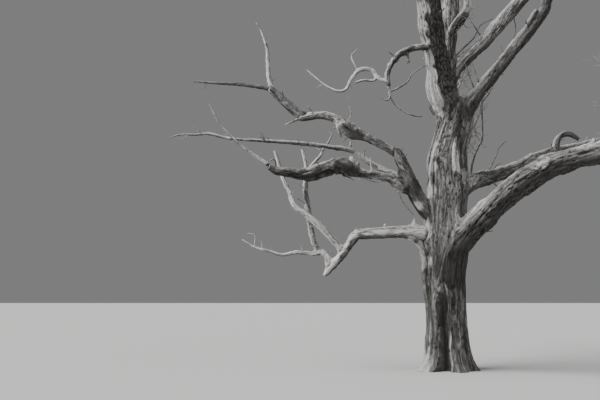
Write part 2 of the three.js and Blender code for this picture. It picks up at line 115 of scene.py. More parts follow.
# Each patch is a place, a size and how much darker, or if negative paler, the wood is there. Some are painted
# shade, as in the fork and on the trunk's shaded lower right, some painted light where the wood should look
# lit, and some pale bare wood
STAINS_AND_PAINTED_LIGHT = [
    (0.38, -0.3, 2, 0.5, 1), (0.06, -0.42, 1.95, 0.5, 1), (0.2, -0.42, 1.36, 0.22, -0.9),
    (0.14, -0.36, 4.62, 0.32, 1), (0.02, -0.42, 3.6, 0.4, 0.25), (0.6, -0.02, 4.45, 0.38, -0.8),
    (0.45, -0.15, 3.2, 0.35, -0.4), (0.34, -0.25, 5.18, 0.28, 1), (-0.39, -0.47, 7.2, 0.18, -1.3),
    (-0.4, -0.42, 6.85, 0.13, -1.3), (-0.39, -0.36, 6.52, 0.12, -1.3), (-0.35, -0.3, 6.2, 0.14, -1.4),
    (-0.26, -0.25, 5.84, 0.16, -1.5), (-0.2, -0.27, 5.54, 0.17, -1.5), (-0.15, -0.3, 5.3, 0.17, -1.5),
    (-0.12, -0.32, 5.06, 0.15, -1.4), (-0.11, -0.34, 4.9, 0.13, -1.5), (-0.13, -0.33, 4.7, 0.12, -1.4),
    (-0.17, -0.31, 4.5, 0.11, -1.4), (-0.24, -0.28, 4.28, 0.12, -1.2), (-0.3, -0.25, 4, 0.13, -1.1),
    (-0.3, -0.22, 3.5, 0.14, -1), (0.18, -0.38, 4.45, 0.08, -1.1), (0.17, -0.39, 4.33, 0.09, -1.3),
    (0.165, -0.4, 4.2, 0.1, -1.3), (0.165, -0.4, 4.07, 0.1, -1.3), (0.17, -0.39, 3.95, 0.11, -1.3),
    (0.28, -0.34, 3.84, 0.14, -1.4), (0.42, -0.22, 3.8, 0.16, -1.4), (0.56, 0.15, 3.85, 0.24, -1.5),
    (-0.2, -0.43, 1.55, 0.1, -1), (-0.72, -0.2, 2.54, 0.1, -1.3), (-0.54, -0.2, 2.38, 0.11, -1.5),
    (-0.47, -0.2, 2.08, 0.15, -1.4), (-0.52, -0.2, 2.7, 0.17, -1.2), (-0.7, -0.12, 3.84, 0.14, -0.6),
    (-0.54, -0.2, 3.2, 0.12, -1.2), (-0.97, -0.25, 3.61, 0.14, -1.6), (-1.25, -0.32, 3.85, 0.3, -1.1),
    (-1.6, -0.48, 3.88, 0.28, -1.1), (-0.58, -0.46, 6.46, 0.13, -1.6), (0.68, 0.1, 7.55, 0.22, -1.5),
    (0.66, 0.25, 3.87, 0.22, -1.3), (1.37, -1.84, 3.71, 0.1, -1.6), (1.97, -2.38, 3.92, 0.2, -0.4),
]
# How frayed these patches are, and how sharply dark ones and pale ones end
STAIN_AND_LIGHT_EDGES = {"frayed": 0.5, "dark_edge": 2, "pale_edge": 4}

# The patterns of weathered wood: how far they stretch across and along the grain, and a number that sets
# each apart. Lumps, knobs and ribs are measured in mean radii of the limb, and the others in metres.
PATTERNS = {
    "lumps": (1.4, 4.5, 0), "knobs": (1.1, 2, 1), "ribs": (0.42, 4.5, 2), "ridges": (0.09, 1.1, 3),
    "fine_ridges": (0.04, 0.5, 4), "wrinkles": (0.022, 0.2, 5), "ragged": (0.22, 0.55, 6),
    "scraps": (0.05, 0.1, 7), "cracked_parts": (0.3, 0.9, 8), "long_cracks": (0.12, 2.3, 9),
    "short_cracks": (0.07, 0.7, 10), "pits": (0.045, 0.09, 11), "pitted_parts": (0.35, 0.6, 12),
    "plates": (0.05, 0.11, 13), "strips": (0.11, 1.1, 14), "stain_and_light_edges": (0.1, 0.45, 15),
    "knot_edges": (0.09, 0.2, 16), "sway_out": (0.35, 0.6, 20), "sway_over": (0.35, 0.6, 21),
}
# The values between which a mask rises from nothing to full
EASES = {
    "knobs": (0.05, 0.5), "bark": (0, 0.1), "cracked_parts": (-0.25, 0.15), "pits": (0.25, 0.5),
    "pitted_parts": (-0.1, 0.2), "painted_shade": (0, 0.45), "painted_highlight": (0, 0.6),
}
# Heights and depths in metres, apart from the first two, which are shares of the radius
WORN = 0.07
LUMP_HEIGHT = 0.11
RIDGE_HEIGHTS = {"ridges": 0.018, "fine_ridges": 0.013, "wrinkles": 0.006}
PIT_DEPTH = 0.02
PLATE_HEIGHT = 0.014
SWAY_WIDTH = 0.035
# A crest's roundness, then its level, the width of the groove beside it and how dark the painted shade in
# that groove is
CREST = 0.7
RIB = {"level": 0.42, "groove": 0.2, "dark": 0.6}
RIDGE = {"level": 0.4, "groove": 0.16, "dark": 0.45}
# The strength of the plates' pattern that lies level with the bark
PLATE_LEVEL = 0.1
# How wide cracks are in their pattern and the share of the full depth that they reach, then how wide
# their floor is and how much of a crack bark fills
CRACKS = {"long_cracks": (0.075, 1), "short_cracks": (0.12, 0.8)}
CRACK_FLOOR = 0.02
BARK_FILLS = 0.5
# How much painted shade cracks, pits and the rims of knots put in a crevice
DARKENS = {"crack": 1.2, "pit": 0.9, "rim": 0.8}
# How much scraps fray the edge of bark, and strips and scraps the edges of the painted shade and the painted
# highlight
SCRAPS = 0.2
PATCH = {"strips": 0.3, "scraps": 0.5}
# The way that wood with the most painted shade faces, down and away from the light, and the way that wood
# with the most painted highlight faces, up and toward the light
SHADE_SIDE = (0.45, 0.15, -0.88)
SUN_SIDE = (-0.75, 0, 0.66)
# Limbs thinner than this radius have finer relief, but not finer than the least share of it
FINE_RADIUS = 0.12
FINE_LEAST = 0.12
# Each limb's grain starts this far on from the last limb's, and keeps this share of the limb's width
# where its end closes
GRAIN_STEP = 3.7
GRAIN_LEAST = 0.8
# Every how many rows a limb's line is taken for fillets, and for the grain of what grows out of it
LINE_STEP = 6
NEAR_STEP = 4
# Where a fillet rises no more and how far out a carrying limb's grain goes, as shares of its reach
FILLET_LEAST = 0.25
GRAFT = 0.7

# The noise under every pattern: how many slopes it has, its shift from seed to seed and its strength
NOISE_CELLS = 256
NOISE_SHIFT = 17.31
NOISE_GAIN = 1.6
SHUFFLE_SEED = 5
SLOPES_SEED = 6
SHUFFLE = np.random.default_rng(SHUFFLE_SEED).permutation(NOISE_CELLS)
SLOPES = np.random.default_rng(SLOPES_SEED).normal(size=(NOISE_CELLS, 3))
SLOPES /= np.linalg.norm(SLOPES, axis=1, keepdims=True)


def noise(points, seed):
    """Smooth noise, mostly from -1 to 1, at an array of points."""
    points = points + NOISE_SHIFT * seed
    cell = np.floor(points).astype(np.int64)
    part = points - cell
    fade = part ** 3 * (part * (part * 6 - 15) + 10)
    total = 0
    for corner in range(8):
        step = np.array([corner & 1, corner >> 1 & 1, corner >> 2])
        key = 0
        for axis in range(3):
            key = SHUFFLE[(key + cell[..., axis] + step[axis]) & (NOISE_CELLS - 1)]
        weight = np.prod(np.where(step, fade, 1 - fade), axis=-1)
        total = total + weight * np.sum(SLOPES[key] * (part - step), axis=-1)
    return NOISE_GAIN * total


def rise(start, end, value):
    """Eases from 0 at one value to 1 at another, which may be the lower."""
    share = np.clip((value - start) / (end - start), 0, 1)
    return share * share * (3 - 2 * share)


def crest(pattern, kind):
    """A rounded ridge where the pattern is strong, and a mask of painted shade in the groove where it is
    weak.
    """
    strength = np.abs(pattern)
    return strength ** CREST - kind["level"], kind["dark"] * (1 - rise(0, kind["groove"], strength))


def unit(vectors):
    return vectors / np.linalg.norm(vectors, axis=-1, keepdims=True)


def smooth_line(stations, steps):
    """Rows on a smooth curve through the stations, this many steps to a span."""
    knots = np.array(stations, float)
    knots = np.vstack([2 * knots[0] - knots[1], knots, 2 * knots[-1] - knots[-2]])
    along = np.arange((len(stations) - 1) * steps + 1) / steps
    span = np.minimum(along.astype(int), len(stations) - 2)
    t = (along - span)[:, None]
    a, b, c, d = (knots[span + i] for i in range(4))
    return b + 0.5 * t * (c - a + t * (2 * a - 5 * b + 4 * c - d + t * (3 * (b - c) + d - a)))


def gap_to(points, line):
    """How far points lie outside the round skin about a limb's line, and the way out of it to them."""
    gap = np.full(points.shape[:-1], np.inf)
    way = np.zeros(points.shape)
    for start, end in zip(line[:-1], line[1:]):
        run = end - start
        share = np.clip((points - start[:3]) @ run[:3] / (run[:3] @ run[:3]), 0, 1)
        away = points - start[:3] - share[..., None] * run[:3]
        far = np.linalg.norm(away, axis=-1)
        here = far - (start[3] + share * run[3]) / 2
        nearer = here < gap
        gap[nearer] = here[nearer]
        way[nearer] = away[nearer] / far[nearer][:, None]
    return gap, way


class Skin:
    """The skin round a trunk or limb: rows of points that carry their grain, worked on in numpy."""

    def __init__(self, line, run, ways, angle, reach, look, seed):
        self.centres = line[:, :3]
        self.half = line[:, 3] / 2
        self.line = line[::LINE_STEP]
        self.run = run
        self.ahead, self.across, self.up = ways
        self.look = look
        self.seed = seed
        self.girth = self.half.mean()
        self.masks = {}
        self.piece = None
        ring = self.across[:, None] * np.cos(angle)[:, None] + self.up[:, None] * np.sin(angle)[:, None]
        self.points = self.centres[:, None] + reach[..., None] * ring
        last_quarter = self.half[-len(self.half) // 4:]
        full = np.maximum(self.half, GRAIN_LEAST * last_quarter.max())[:, None]
        self.grain = self.wrap(full, angle[None], run[:, None])
        self.face()

    def wrap(self, radius, angle, run):
        """The place on the straightened limb, whose grain turns slowly round it."""
        turned = angle + self.look["twist"] * run
        tall = run + GRAIN_STEP * self.seed + 0 * turned
        return np.stack([radius * np.cos(turned), radius * np.sin(turned), tall], axis=-1)

    def grain_at(self, points):
        """The place on the straightened limb of any points near it, and the limb's radius there."""
        far = np.linalg.norm(points[:, None] - self.centres[None, ::NEAR_STEP], axis=-1)
        row = np.argmin(far, axis=1) * NEAR_STEP
        away = points - self.centres[row]
        out, over, on = (np.sum(away * way[row], axis=-1) for way in (self.across, self.up, self.ahead))
        radius = self.half[row]
        return self.wrap(radius, np.arctan2(over, out), self.run[row] + on), radius

    def face(self):
        """Works out the way that each point faces, from its neighbours along and around."""
        along = np.gradient(self.points, axis=0)
        around = np.roll(self.points, -1, axis=1) - np.roll(self.points, 1, axis=1)
        self.facing = unit(np.cross(around, along))

    def pattern(self, name, grain, size=1):
        """One of the wood's patterns at places on the straightened limb."""
        across, along, number = PATTERNS[name]
        stretch = np.array([size * across, size * across, size * along])
        return noise(grain / stretch, self.seed + number)

    def eased(self, name, grain, size=1):
        """A mask that rises where one of the wood's patterns is strong."""
        return rise(*EASES[name], self.pattern(name, grain, size))

    def knotted(self, points, grain):
        """How far knots stand out, how they bend the grain, and masks of their holes and rims, which take
        painted shade.
        """
        out, hole, rim = np.zeros((3, *points.shape[:-1]))
        bend = np.zeros(points.shape)
        edge = 1 + KNOT["torn"] * self.pattern("knot_edges", grain)
        for x, y, z, size, height, depth in KNOTS:
            away = np.linalg.norm(points - (x, y, z), axis=-1) * edge / size
            groove = np.exp(-((away - KNOT["groove_at"]) / KNOT["groove_width"]) ** 2)
            rim = np.maximum(rim, min(height / KNOT["full_height"], 1) * groove)
            collar = KNOT["collar"] * np.exp(-((away - KNOT["collar_at"]) / KNOT["collar_width"]) ** 2)
            out += height * (np.exp(-KNOT["dome"] * away ** 2) + collar)
            bend += (size * np.exp(-away ** 2))[..., None] * KNOT["bend"]
            if depth:
                sunk = 1 - rise(*KNOT["hole"], away)
                out -= depth * sunk
                hole = np.maximum(hole, sunk)
        return out - KNOT["groove_depth"] * rim, bend, hole, rim

    def stained(self, points, grain):
        """How much darker, or if negative paler, the patches of stain, painted shade and painted light make
        the wood at points.
        """
        edge = 1 + STAIN_AND_LIGHT_EDGES["frayed"] * self.pattern("stain_and_light_edges", grain)
        stain_and_light = 0
        for x, y, z, size, amount in STAINS_AND_PAINTED_LIGHT:
            away = np.linalg.norm(points - (x, y, z), axis=-1) * edge / size
            stain_and_light = stain_and_light + amount * np.exp(-away ** STAIN_AND_LIGHT_EDGES["dark_edge" if amount > 0 else "pale_edge"])
        return stain_and_light

    def relief(self, points, grain, facing, radius):
        """How far weathered wood stands in or out at points, and masks of its cracks, its bark and the
        painted shade and painted highlight on it.
        """
        look, girth = self.look, self.girth
        fine = np.clip(radius / FINE_RADIUS, FINE_LEAST, 1)
        out, bend, hole, rim = self.knotted(points, grain)
        bent = grain + bend
        sway = [self.pattern("sway_out", grain), self.pattern("sway_over", grain)]
        bent[..., :2] += SWAY_WIDTH * np.stack(sway, axis=-1)
        lumps = LUMP_HEIGHT * self.pattern("lumps", grain, girth)
        knobs = look["knobs"] * self.eased("knobs", grain, girth)
        rib, groove = crest(self.pattern("ribs", bent, girth), RIB)
        out = out + radius * (lumps + knobs + look["ribs"] * rib - WORN)
        for name, height in RIDGE_HEIGHTS.items():
            ridge, beside = crest(self.pattern(name, bent), RIDGE)
            out = out + fine * height * ridge
            groove = groove + beside
        stain_and_light = self.stained(points, grain)
        scraps = SCRAPS * self.pattern("scraps", grain)
        ragged = look["ragged"] * self.pattern("ragged", grain) + np.minimum(stain_and_light, 0)
        shade = facing @ np.array(look["bark_side"])
        bark = rise(*EASES["bark"], shade + ragged + scraps - 1 + 2 * look["bark"])
        crack = 0
        for name, (width, depth) in CRACKS.items():
            split = 1 - rise(CRACK_FLOOR, width, np.abs(self.pattern(name, bent)))
            crack = np.maximum(crack, depth * split)
        crack = crack * self.eased("cracked_parts", grain)
        pit = look["pits"] * self.eased("pits", grain) * self.eased("pitted_parts", grain)
        plate = np.sqrt(np.abs(self.pattern("plates", grain)))
        out = out - fine * look["cracks"] * crack * (1 - BARK_FILLS * bark)
        out = out - fine * PIT_DEPTH * pit + fine * bark * PLATE_HEIGHT * (plate - PLATE_LEVEL)
        patch = PATCH["strips"] * self.pattern("strips", grain) + PATCH["scraps"] * scraps
        # Painted shade where the wood faces down and away from the light, and a painted highlight where it
        # faces the light
        painted_shade = facing @ np.array(SHADE_SIDE) - look["dry"] + patch + stain_and_light
        painted_highlight = facing @ np.array(SUN_SIDE) - look["grey"] - patch - stain_and_light
        # Painted shade in grooves, cracks, pits, knot rims and knot holes
        dark = groove + DARKENS["crack"] * crack + DARKENS["pit"] * pit + DARKENS["rim"] * rim + hole
        masks = {
            "crevice_shade": np.clip(dark, 0, 1), "bark": bark, "plate": plate, "painted_shade": rise(*EASES["painted_shade"], painted_shade),
            "painted_highlight": rise(*EASES["painted_highlight"], painted_highlight), "hollow": hole, "joined": 0 * bark,
        }
        return out, masks

    def weather(self, joined):
        """Weathers the skin's wood and paints shade and highlight on it, and near a limb that carries it
        takes that limb's grain.
        """
        radius = self.half[:, None] + 0 * self.points[..., 0]
        out, self.masks = self.relief(self.points, self.grain, self.facing, radius)
        for other, reach in joined:
            share = 1 - rise(0, GRAFT * reach, gap_to(self.points, other.line)[0])
            near = share > 0
            if near.any():
                points = self.points[near]
                grain, radius = other.grain_at(points)
                there, masks = other.relief(points, grain, self.facing[near], radius)
                out[near] += share[near] * (there - out[near])
                masks["joined"] = masks["joined"] + other.look["grey_wood"]
                for mask, values in masks.items():
                    self.masks[mask][near] += share[near] * (values - self.masks[mask][near])
        self.points = self.points + out[..., None] * self.facing

    def melt(self, line, reach):
        """Rises to meet another limb in a smooth fillet where its skin comes within reach."""
        gap, way = gap_to(self.points, line)
        share = np.clip(gap / reach, FILLET_LEAST, 1)
        corner = np.clip(1 - np.sum(way * self.facing, axis=-1), 0, 1)
        self.points = self.points + (corner * reach * (1 - np.sqrt(share)) ** 2)[..., None] * self.facing
        if self.piece:
            self.piece.data.vertices.foreach_set("co", self.corners().astype(np.float32).ravel())
            self.piece.data.update()

    def corners(self):
        """Every corner of the mesh: the rows, then the middle of the first row and of the last."""
        return self.with_ends(self.points)

    def with_ends(self, values):
        """Values at each point, one to a row, then their means over the first ring and the last."""
        width = values[0, 0].size
        return np.vstack([values.reshape(-1, width), values[0].mean(axis=0), values[-1].mean(axis=0)])


def make(name, material, skins):
    """Turns skins into one mesh, each closed at both ends, that carries their grain and their masks."""
    faces = []
    base = 0
    for skin in skins:
        rows, columns = skin.points.shape[:2]
        at = base + np.arange(rows * columns).reshape(rows, columns)
        beside = np.roll(at, -1, axis=1)
        quads = np.stack([at[:-1], beside[:-1], beside[1:], at[1:]], axis=-1).reshape(-1, 4)
        foot = np.full(columns, base + rows * columns)
        start = np.stack([foot, beside[0], at[0]], axis=-1)
        end = np.stack([foot + 1, at[-1], beside[-1]], axis=-1)
        faces += quads.tolist() + start.tolist() + end.tolist()
        base += rows * columns + 2
    mesh = bpy.data.meshes.new(name)
    mesh.from_pydata(np.vstack([skin.corners() for skin in skins]).tolist(), [], faces)
    mesh.shade_smooth()
    grain = np.vstack([skin.with_ends(skin.grain) for skin in skins])
    carried = mesh.attributes.new("grain", "FLOAT_VECTOR", "POINT")
    carried.data.foreach_set("vector", grain.astype(np.float32).ravel())
    for mask in skins[0].masks:
        values = np.vstack([skin.with_ends(skin.masks[mask]) for skin in skins])
        carried = mesh.attributes.new(mask, "FLOAT", "POINT")
        carried.data.foreach_set("value", values.astype(np.float32).ravel())
    mesh.materials.append(material)
    piece = bpy.data.objects.new(name, mesh)
    bpy.context.scene.collection.objects.link(piece)
    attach(piece, "root")
    return piece


class Socket:
    """A shader node's output, on which ordinary maths adds the nodes that work it out."""

    def __init__(self, tree, output):
        self.tree = tree
        self.output = output

    def node(self, kind, settings, inputs, output=0):
        """A new node in the same material, with its settings and the values or links of its sockets."""
        made = self.tree.nodes.new(kind)
        for setting, value in settings.items():
            setattr(made, setting, value)
        for socket, value in inputs.items():
            if isinstance(value, Socket):
                self.tree.links.new(value.output, made.inputs[socket])
            else:
                made.inputs[socket].default_value = value
        return Socket(self.tree, made.outputs[output])

    def maths(self, operation, first, second):
        return self.node("ShaderNodeMath", {"operation": operation}, {0: first, 1: second})

    def __add__(self, other):
        return self.maths("ADD", self, other)

    def __rsub__(self, other):
        return self.maths("SUBTRACT", other, self)

    def __mul__(self, other):
        return self.maths("MULTIPLY", self, other)

    __radd__ = __add__
    __rmul__ = __mul__

    def between(self, low, high):
        """This value eased from 0 at the low number to 1 at the high one."""
        settings = {"interpolation_type": "SMOOTHSTEP"}
        return self.node("ShaderNodeMapRange", settings, {"Value": self, "From Min": low, "From Max": high})

    def mixed(self, first, second):
        """The first colour where this value is 0 and the second where it is 1."""
        return self.node("ShaderNodeMix", {"data_type": "RGBA"}, {0: self, 6: first, 7: second}, 2)


# The colours of weathered wood, among them the painted highlight (bright) and the painted shade of cracks and
# of the hollow (crack, hollow), then how far painted shade on the undersides and in cracks darkens it
WOOD_TONES = {
    "pale": (0.29, 0.283, 0.274, 1), "mid": (0.14, 0.137, 0.131, 1), "grey": (0.085, 0.082, 0.079, 1),
    "dark": (0.045, 0.043, 0.041, 1), "crack": (0.018, 0.0165, 0.015, 1), "bark": (0.075, 0.072, 0.068, 1),
    "hollow": (0.12, 0.115, 0.108, 1), "bright": (0.66, 0.65, 0.63, 1), "painted_shade": 0.85, "crack_shade": 0.75,
}
# Fibres and spots in the colour: metres across and along the grain, and the noise's detail. Below are the
# noise values between which each sets in, and how far it goes.
FIBRES = {
    "strips": (0.13, 1.6, 3), "streaks": (0.04, 0.5, 4), "hairs": (0.01, 0.25, 3),
    "blotches": (0.2, 0.4, 3), "specks": (0.03, 0.07, 3),
}
LIGHT_FIBRES = {"strips": 0.35, "streaks": 0.4, "hairs": 0.25, "from": 0.41, "to": 0.59}
BLOTCHES = {"from": 0.48, "to": 0.62, "amount": 0.7}
SPECKS = {"from": 0.52, "to": 0.64, "amount": 0.6}
# How strongly the painted highlight shows, more on light fibres, and how much it lessens the painted shade of
# cracks
HIGHLIGHT_MIX = {"all": 0.5, "fibres": 0.4, "clean_cracks": 0.15}
SCALY = {"from": 0.2, "to": 0.75}
# Bark and dark wood are the roughest, and light fibres are smoother
ROUGH = {"most": 0.95, "smoother": 0.14}
FIBRE_BUMP = {"Distance": 0.014, "Strength": 0.7}
FINE_BUMP = 0.5
WOOD_SPECULAR = 0.2


def wood(name, tones):
    """Bare weathered wood: fibres along the grain, painted shade in cracks, pits and hollows, painted shade
    on undersides and on the side away from the light, a painted highlight on the side toward it, and scraps
    of bark.
    """
    material = bpy.data.materials.new(name)
    material.use_nodes = True
    tree = material.node_tree
    shader = tree.nodes["Principled BSDF"]
    start = Socket(tree, shader.outputs[0])

    def carried(mask, output=2):
        return start.node("ShaderNodeAttribute", {"attribute_name": mask}, {}, output)

    def tone(part):
        return carried("joined").mixed(tones[part], WOOD_TONES[part])

    def fibres(kind):
        across, along, detail = FIBRES[kind]
        scaled = start.node("ShaderNodeVectorMath", {"operation": "MULTIPLY"},
                            {0: carried("grain", 1), 1: (1 / across, 1 / across, 1 / along)})
        return start.node("ShaderNodeTexNoise", {}, {"Vector": scaled, "Scale": 1, "Detail": detail})

    crevice_shade = carried("crevice_shade")
    bark = carried("bark")
    streaks = fibres("streaks")
    hairs = fibres("hairs")
    light = fibres("strips") * LIGHT_FIBRES["strips"] + streaks * LIGHT_FIBRES["streaks"]
    light = light + hairs * LIGHT_FIBRES["hairs"]
    light = light.between(LIGHT_FIBRES["from"], LIGHT_FIBRES["to"])
    colour = light.mixed(tone("mid"), tone("pale"))
    blotches = fibres("blotches").between(BLOTCHES["from"], BLOTCHES["to"])
    colour = (blotches * BLOTCHES["amount"]).mixed(colour, tones["grey"])
    specks = fibres("specks").between(SPECKS["from"], SPECKS["to"])
    colour = (specks * SPECKS["amount"]).mixed(colour, tones["dark"])
    # Painted highlight on the side toward the light, then painted shade on undersides and on the side away
    # from it
    painted_highlight = carried("painted_highlight") * (1 - carried("painted_shade"))
    colour = (painted_highlight * (HIGHLIGHT_MIX["all"] + HIGHLIGHT_MIX["fibres"] * light)).mixed(colour, tone("bright"))
    colour = (carried("painted_shade") * tones["painted_shade"]).mixed(colour, tones["dark"])
    # Painted shade in cracks, pits, grooves and knot rims, less where the painted highlight lies
    crack_shade = crevice_shade * (tones["crack_shade"] - HIGHLIGHT_MIX["clean_cracks"] * painted_highlight)
    colour = crack_shade.mixed(colour, tones["crack"])
    # Between its plates the bark takes the crack tone, painted shade in its fissures
    scaly = carried("plate").between(SCALY["from"], SCALY["to"])
    colour = bark.mixed(colour, scaly.mixed(tones["crack"], tones["bark"]))
    # Painted shade in the trunk's hollow and in knot holes
    colour = carried("hollow").mixed(colour, tones["hollow"])
    tree.links.new(colour.output, shader.inputs["Base Color"])
    rough = ROUGH["most"] - ROUGH["smoother"] * light * (1 - bark)
    tree.links.new(rough.output, shader.inputs["Roughness"])
    bump = start.node("ShaderNodeBump", {}, {"Height": hairs * FINE_BUMP + streaks, **FIBRE_BUMP})
    tree.links.new(bump.output, shader.inputs["Normal"])
    shader.inputs["Specular IOR Level"].default_value = WOOD_SPECULAR
    return material


def bearing_from(bearing, other):
    """The degrees from one bearing to another, from -180 to 180."""
    return (bearing - other + 540) % 360 - 180


def cut_depth(cut, bearing, height):
    """How deep an upright hollow or groove goes into the trunk at a bearing and a height."""
    bend = sum(turn * np.sin(wave * height) for wave, turn in WANDER)
    away = np.abs(bearing_from(bearing, cut["bearing"] + bend)) / cut["half_angle"]
    depth = cut["depth"] * (1 - rise(cut["brim"], 1, away))
    if "foot" in cut:
        depth = depth * rise(cut["foot"], cut["foot"] + cut["fade"], height)
    return depth * rise(cut["top"], cut["top"] - cut["fade"], height)


def trunk_shape(bearing, height):
    """How much wider or narrower than its plain oval the trunk is at a bearing and a height."""
    shape = np.ones(np.broadcast(bearing, height).shape)
    for count, depth, turn, first in TRUNK_FLUTES:
        shape += depth * np.cos(np.radians(count * (bearing + first + turn * height)))
    flare = FLARE["spread"] * np.exp(-height / FLARE["height"])
    for buttress in BUTTRESSES:
        shape += flare * np.exp(-(bearing_from(bearing, buttress) / FLARE["half_angle"]) ** 2)
    return shape - cut_depth(HOLLOW, bearing, height) - cut_depth(GROOVE, bearing, height)


def trunk_skin(look):
    """The trunk's skin in level rows from the ground cut to the fork."""
    profile = smooth_line(TRUNK, STEPS_PER_SPAN)
    height = np.linspace(0, FORK_HEIGHT, round(FORK_HEIGHT / TRUNK_ROW) + 1)
    middle, width = (np.interp(height, profile[:, 0], profile[:, i]) for i in (1, 2))
    bearing = np.arange(TRUNK_COLUMNS) * 360 / TRUNK_COLUMNS
    reach = width[:, None] / 2 * trunk_shape(bearing[None], height[:, None])
    line = np.stack([middle, 0 * height, height, width], axis=-1)
    ways = [np.tile(way, (len(height), 1)) for way in ((0, 0, 1.0), (1.0, 0, 0), (0, TRUNK_DEPTH, 0))]
    skin = Skin(line, height, ways, np.radians(bearing), reach, look, 0)
    skin.bearing = bearing[None]
    return skin


# What sets one wood apart: the turn of its grain in a metre, ribs and knobs as shares of the radius, the
# depth of its cracks and the strength of its pits, the part of it under bark, the side that this is on
# and how ragged its edge is, how much less painted shade its shaded side gets and how much less painted
# highlight (grey) its lit side gets, and whether a limb that grows out of it takes the trunk's colours, not
# its own, at the root
BARE = {
    "twist": 0.12, "ribs": 0.1, "knobs": 0.04, "cracks": 0.024, "pits": 1, "bark": 0.08,
    "bark_side": SHADE_SIDE, "ragged": 0.6, "dry": 0.3, "grey": 0.45, "grey_wood": 1,
}
trunk_wood = wood("trunk_wood", WOOD_TONES)
trunk = trunk_skin(dict(BARE, cracks=0.016))
trunk.weather([])
trunk.points[..., 2] = np.maximum(trunk.points[..., 2], 0)
# Painted shade deep in the hollow at the trunk's foot
hollow = cut_depth(HOLLOW, trunk.bearing, trunk.run[:, None]) / HOLLOW["depth"]
hollow = HOLLOW_DARK["amount"] * rise(HOLLOW_DARK["from"], HOLLOW_DARK["to"], hollow)
trunk.masks["hollow"] = np.maximum(trunk.masks["hollow"], hollow)
trunk.piece = make("trunk_relief", trunk_wood, [trunk])
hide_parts("trunk")
skins = {"trunk": trunk}
lines = {}

# The leaders
# Five great limbs rise out of the fork. The left one is the thickest and still has dark bark down its
# right face, beside a pale strip of bare wood. Each melts into the trunk in a collar, and the ends
# are worn round where the next limbs leave them.
# How far apart a limb mesh's rows and columns are
ROW = 0.022
COLUMN = 0.0105
FEWEST_ROWS = 8
FEWEST_COLUMNS = 10
MOST_COLUMNS = 160
MELT = 1.6
STEPS_FOR_TWIGS = 2

# How a limb ends: steps past its last station and the thickness left there, as shares of its radius
ENDS = {
    "worn": [(0.34, 0.94), (0.64, 0.77), (0.87, 0.5), (0.97, 0.24)],
    "snapped": [(0.02, 0.92), (0, 0.72), (-0.15, 0.4), (-0.25, 0.12)],
    "tip": [(0.5, 0.72), (0.9, 0.36), (1.05, 0.12)],
    "twigs": [(0.01, 0.8), (0.01, 0.3)],
}
# How far the grain runs on with each closing step, as a share of the limb's width
CLOSING_RUN = 0.15
# A snapped end's splinters: waves round the rim, and heights and lengths as shares of the radius
JAG = {"coarse": 1.3, "fine": 4, "each": 0.6, "drop": 0.1, "height": 0.7, "length": 1.8}

PALE_TONES = dict(WOOD_TONES, pale=(0.55, 0.54, 0.523, 1), mid=(0.29, 0.284, 0.274, 1),
                  bright=(0.78, 0.77, 0.75, 1))
DARK_TONES = dict(WOOD_TONES, pale=(0.32, 0.313, 0.303, 1), mid=(0.12, 0.117, 0.111, 1), painted_shade=0.95)
FINISHES = {
    "silver": ("silver_wood", wood("silver_wood", dict(WOOD_TONES, painted_shade=0.9)),
               dict(BARE, twist=0.35, ribs=0.15, knobs=0.14, bark=0.15, dry=0.1, grey=0.4)),
    "pale": ("pale_wood", wood("pale_wood", PALE_TONES),
             dict(BARE, twist=0.5, ribs=0.13, knobs=0.12, bark=0.05, dry=0.25, grey=0, grey_wood=0)),
    "dark": ("dark_wood", wood("dark_wood", DARK_TONES),
             dict(BARE, twist=1.1, ribs=0.24, knobs=0.25, bark=0.27, dry=-0.2, grey=0.35, grey_wood=0)),
}


def limb_skin(stations, end, look, seed):
    """A round skin along a limb's line, closed at its end as it was worn, snapped or drawn out."""
    dense = smooth_line(stations, STEPS_PER_SPAN)
    far = np.concatenate([[0], np.cumsum(np.linalg.norm(np.diff(dense[:, :3], axis=0), axis=1))])
    run = np.linspace(0, far[-1], max(round(far[-1] / ROW), FEWEST_ROWS) + 1)
    line = np.stack([np.interp(run, far, dense[:, i]) for i in range(4)], axis=-1)
    last = line[-1]
    tip = unit(line[-1, :3] - line[-2, :3])
    body = len(line)
    closing = [[*(last[:3] + tip * step * last[3] / 2), last[3] * share] for step, share in ENDS[end]]
    line = np.vstack([line, closing])
    run = np.concatenate([run, run[-1] + CLOSING_RUN * last[3] * np.arange(1, len(closing) + 1)])
    ahead = unit(np.gradient(line[:body, :3], axis=0))
    ahead = np.vstack([ahead, np.tile(tip, (len(closing), 1))])
    across = np.empty_like(ahead)
    side = np.array([0.0, 1.0, 0.0])
    for i, way in enumerate(ahead):
        side = unit(side - way * (side @ way))
        across[i] = side
    ways = ahead, across, np.cross(ahead, across)
    columns = int(np.clip(math.pi * line[:, 3].mean() / COLUMN, FEWEST_COLUMNS, MOST_COLUMNS)) // 2 * 2
    angle = 2 * math.pi * np.arange(columns) / columns
    reach = np.tile(line[:, 3:] / 2, (1, columns))
    skin = Skin(line, run, ways, angle, reach, look, seed)
    if end == "snapped":
        rim = np.stack([np.cos(angle), np.sin(angle), 0 * angle], axis=-1)
        jag = noise(JAG["coarse"] * rim, seed) + np.abs(noise(JAG["fine"] * rim, seed + 1))
        torn = rise(run[body - 1] - JAG["length"] * last[3] / 2, run[body - 1], run)[:, None]
        jag = JAG["height"] * last[3] / 2 * torn * (JAG["each"] * jag - JAG["drop"])
        skin.points += jag[..., None] * tip
    return skin


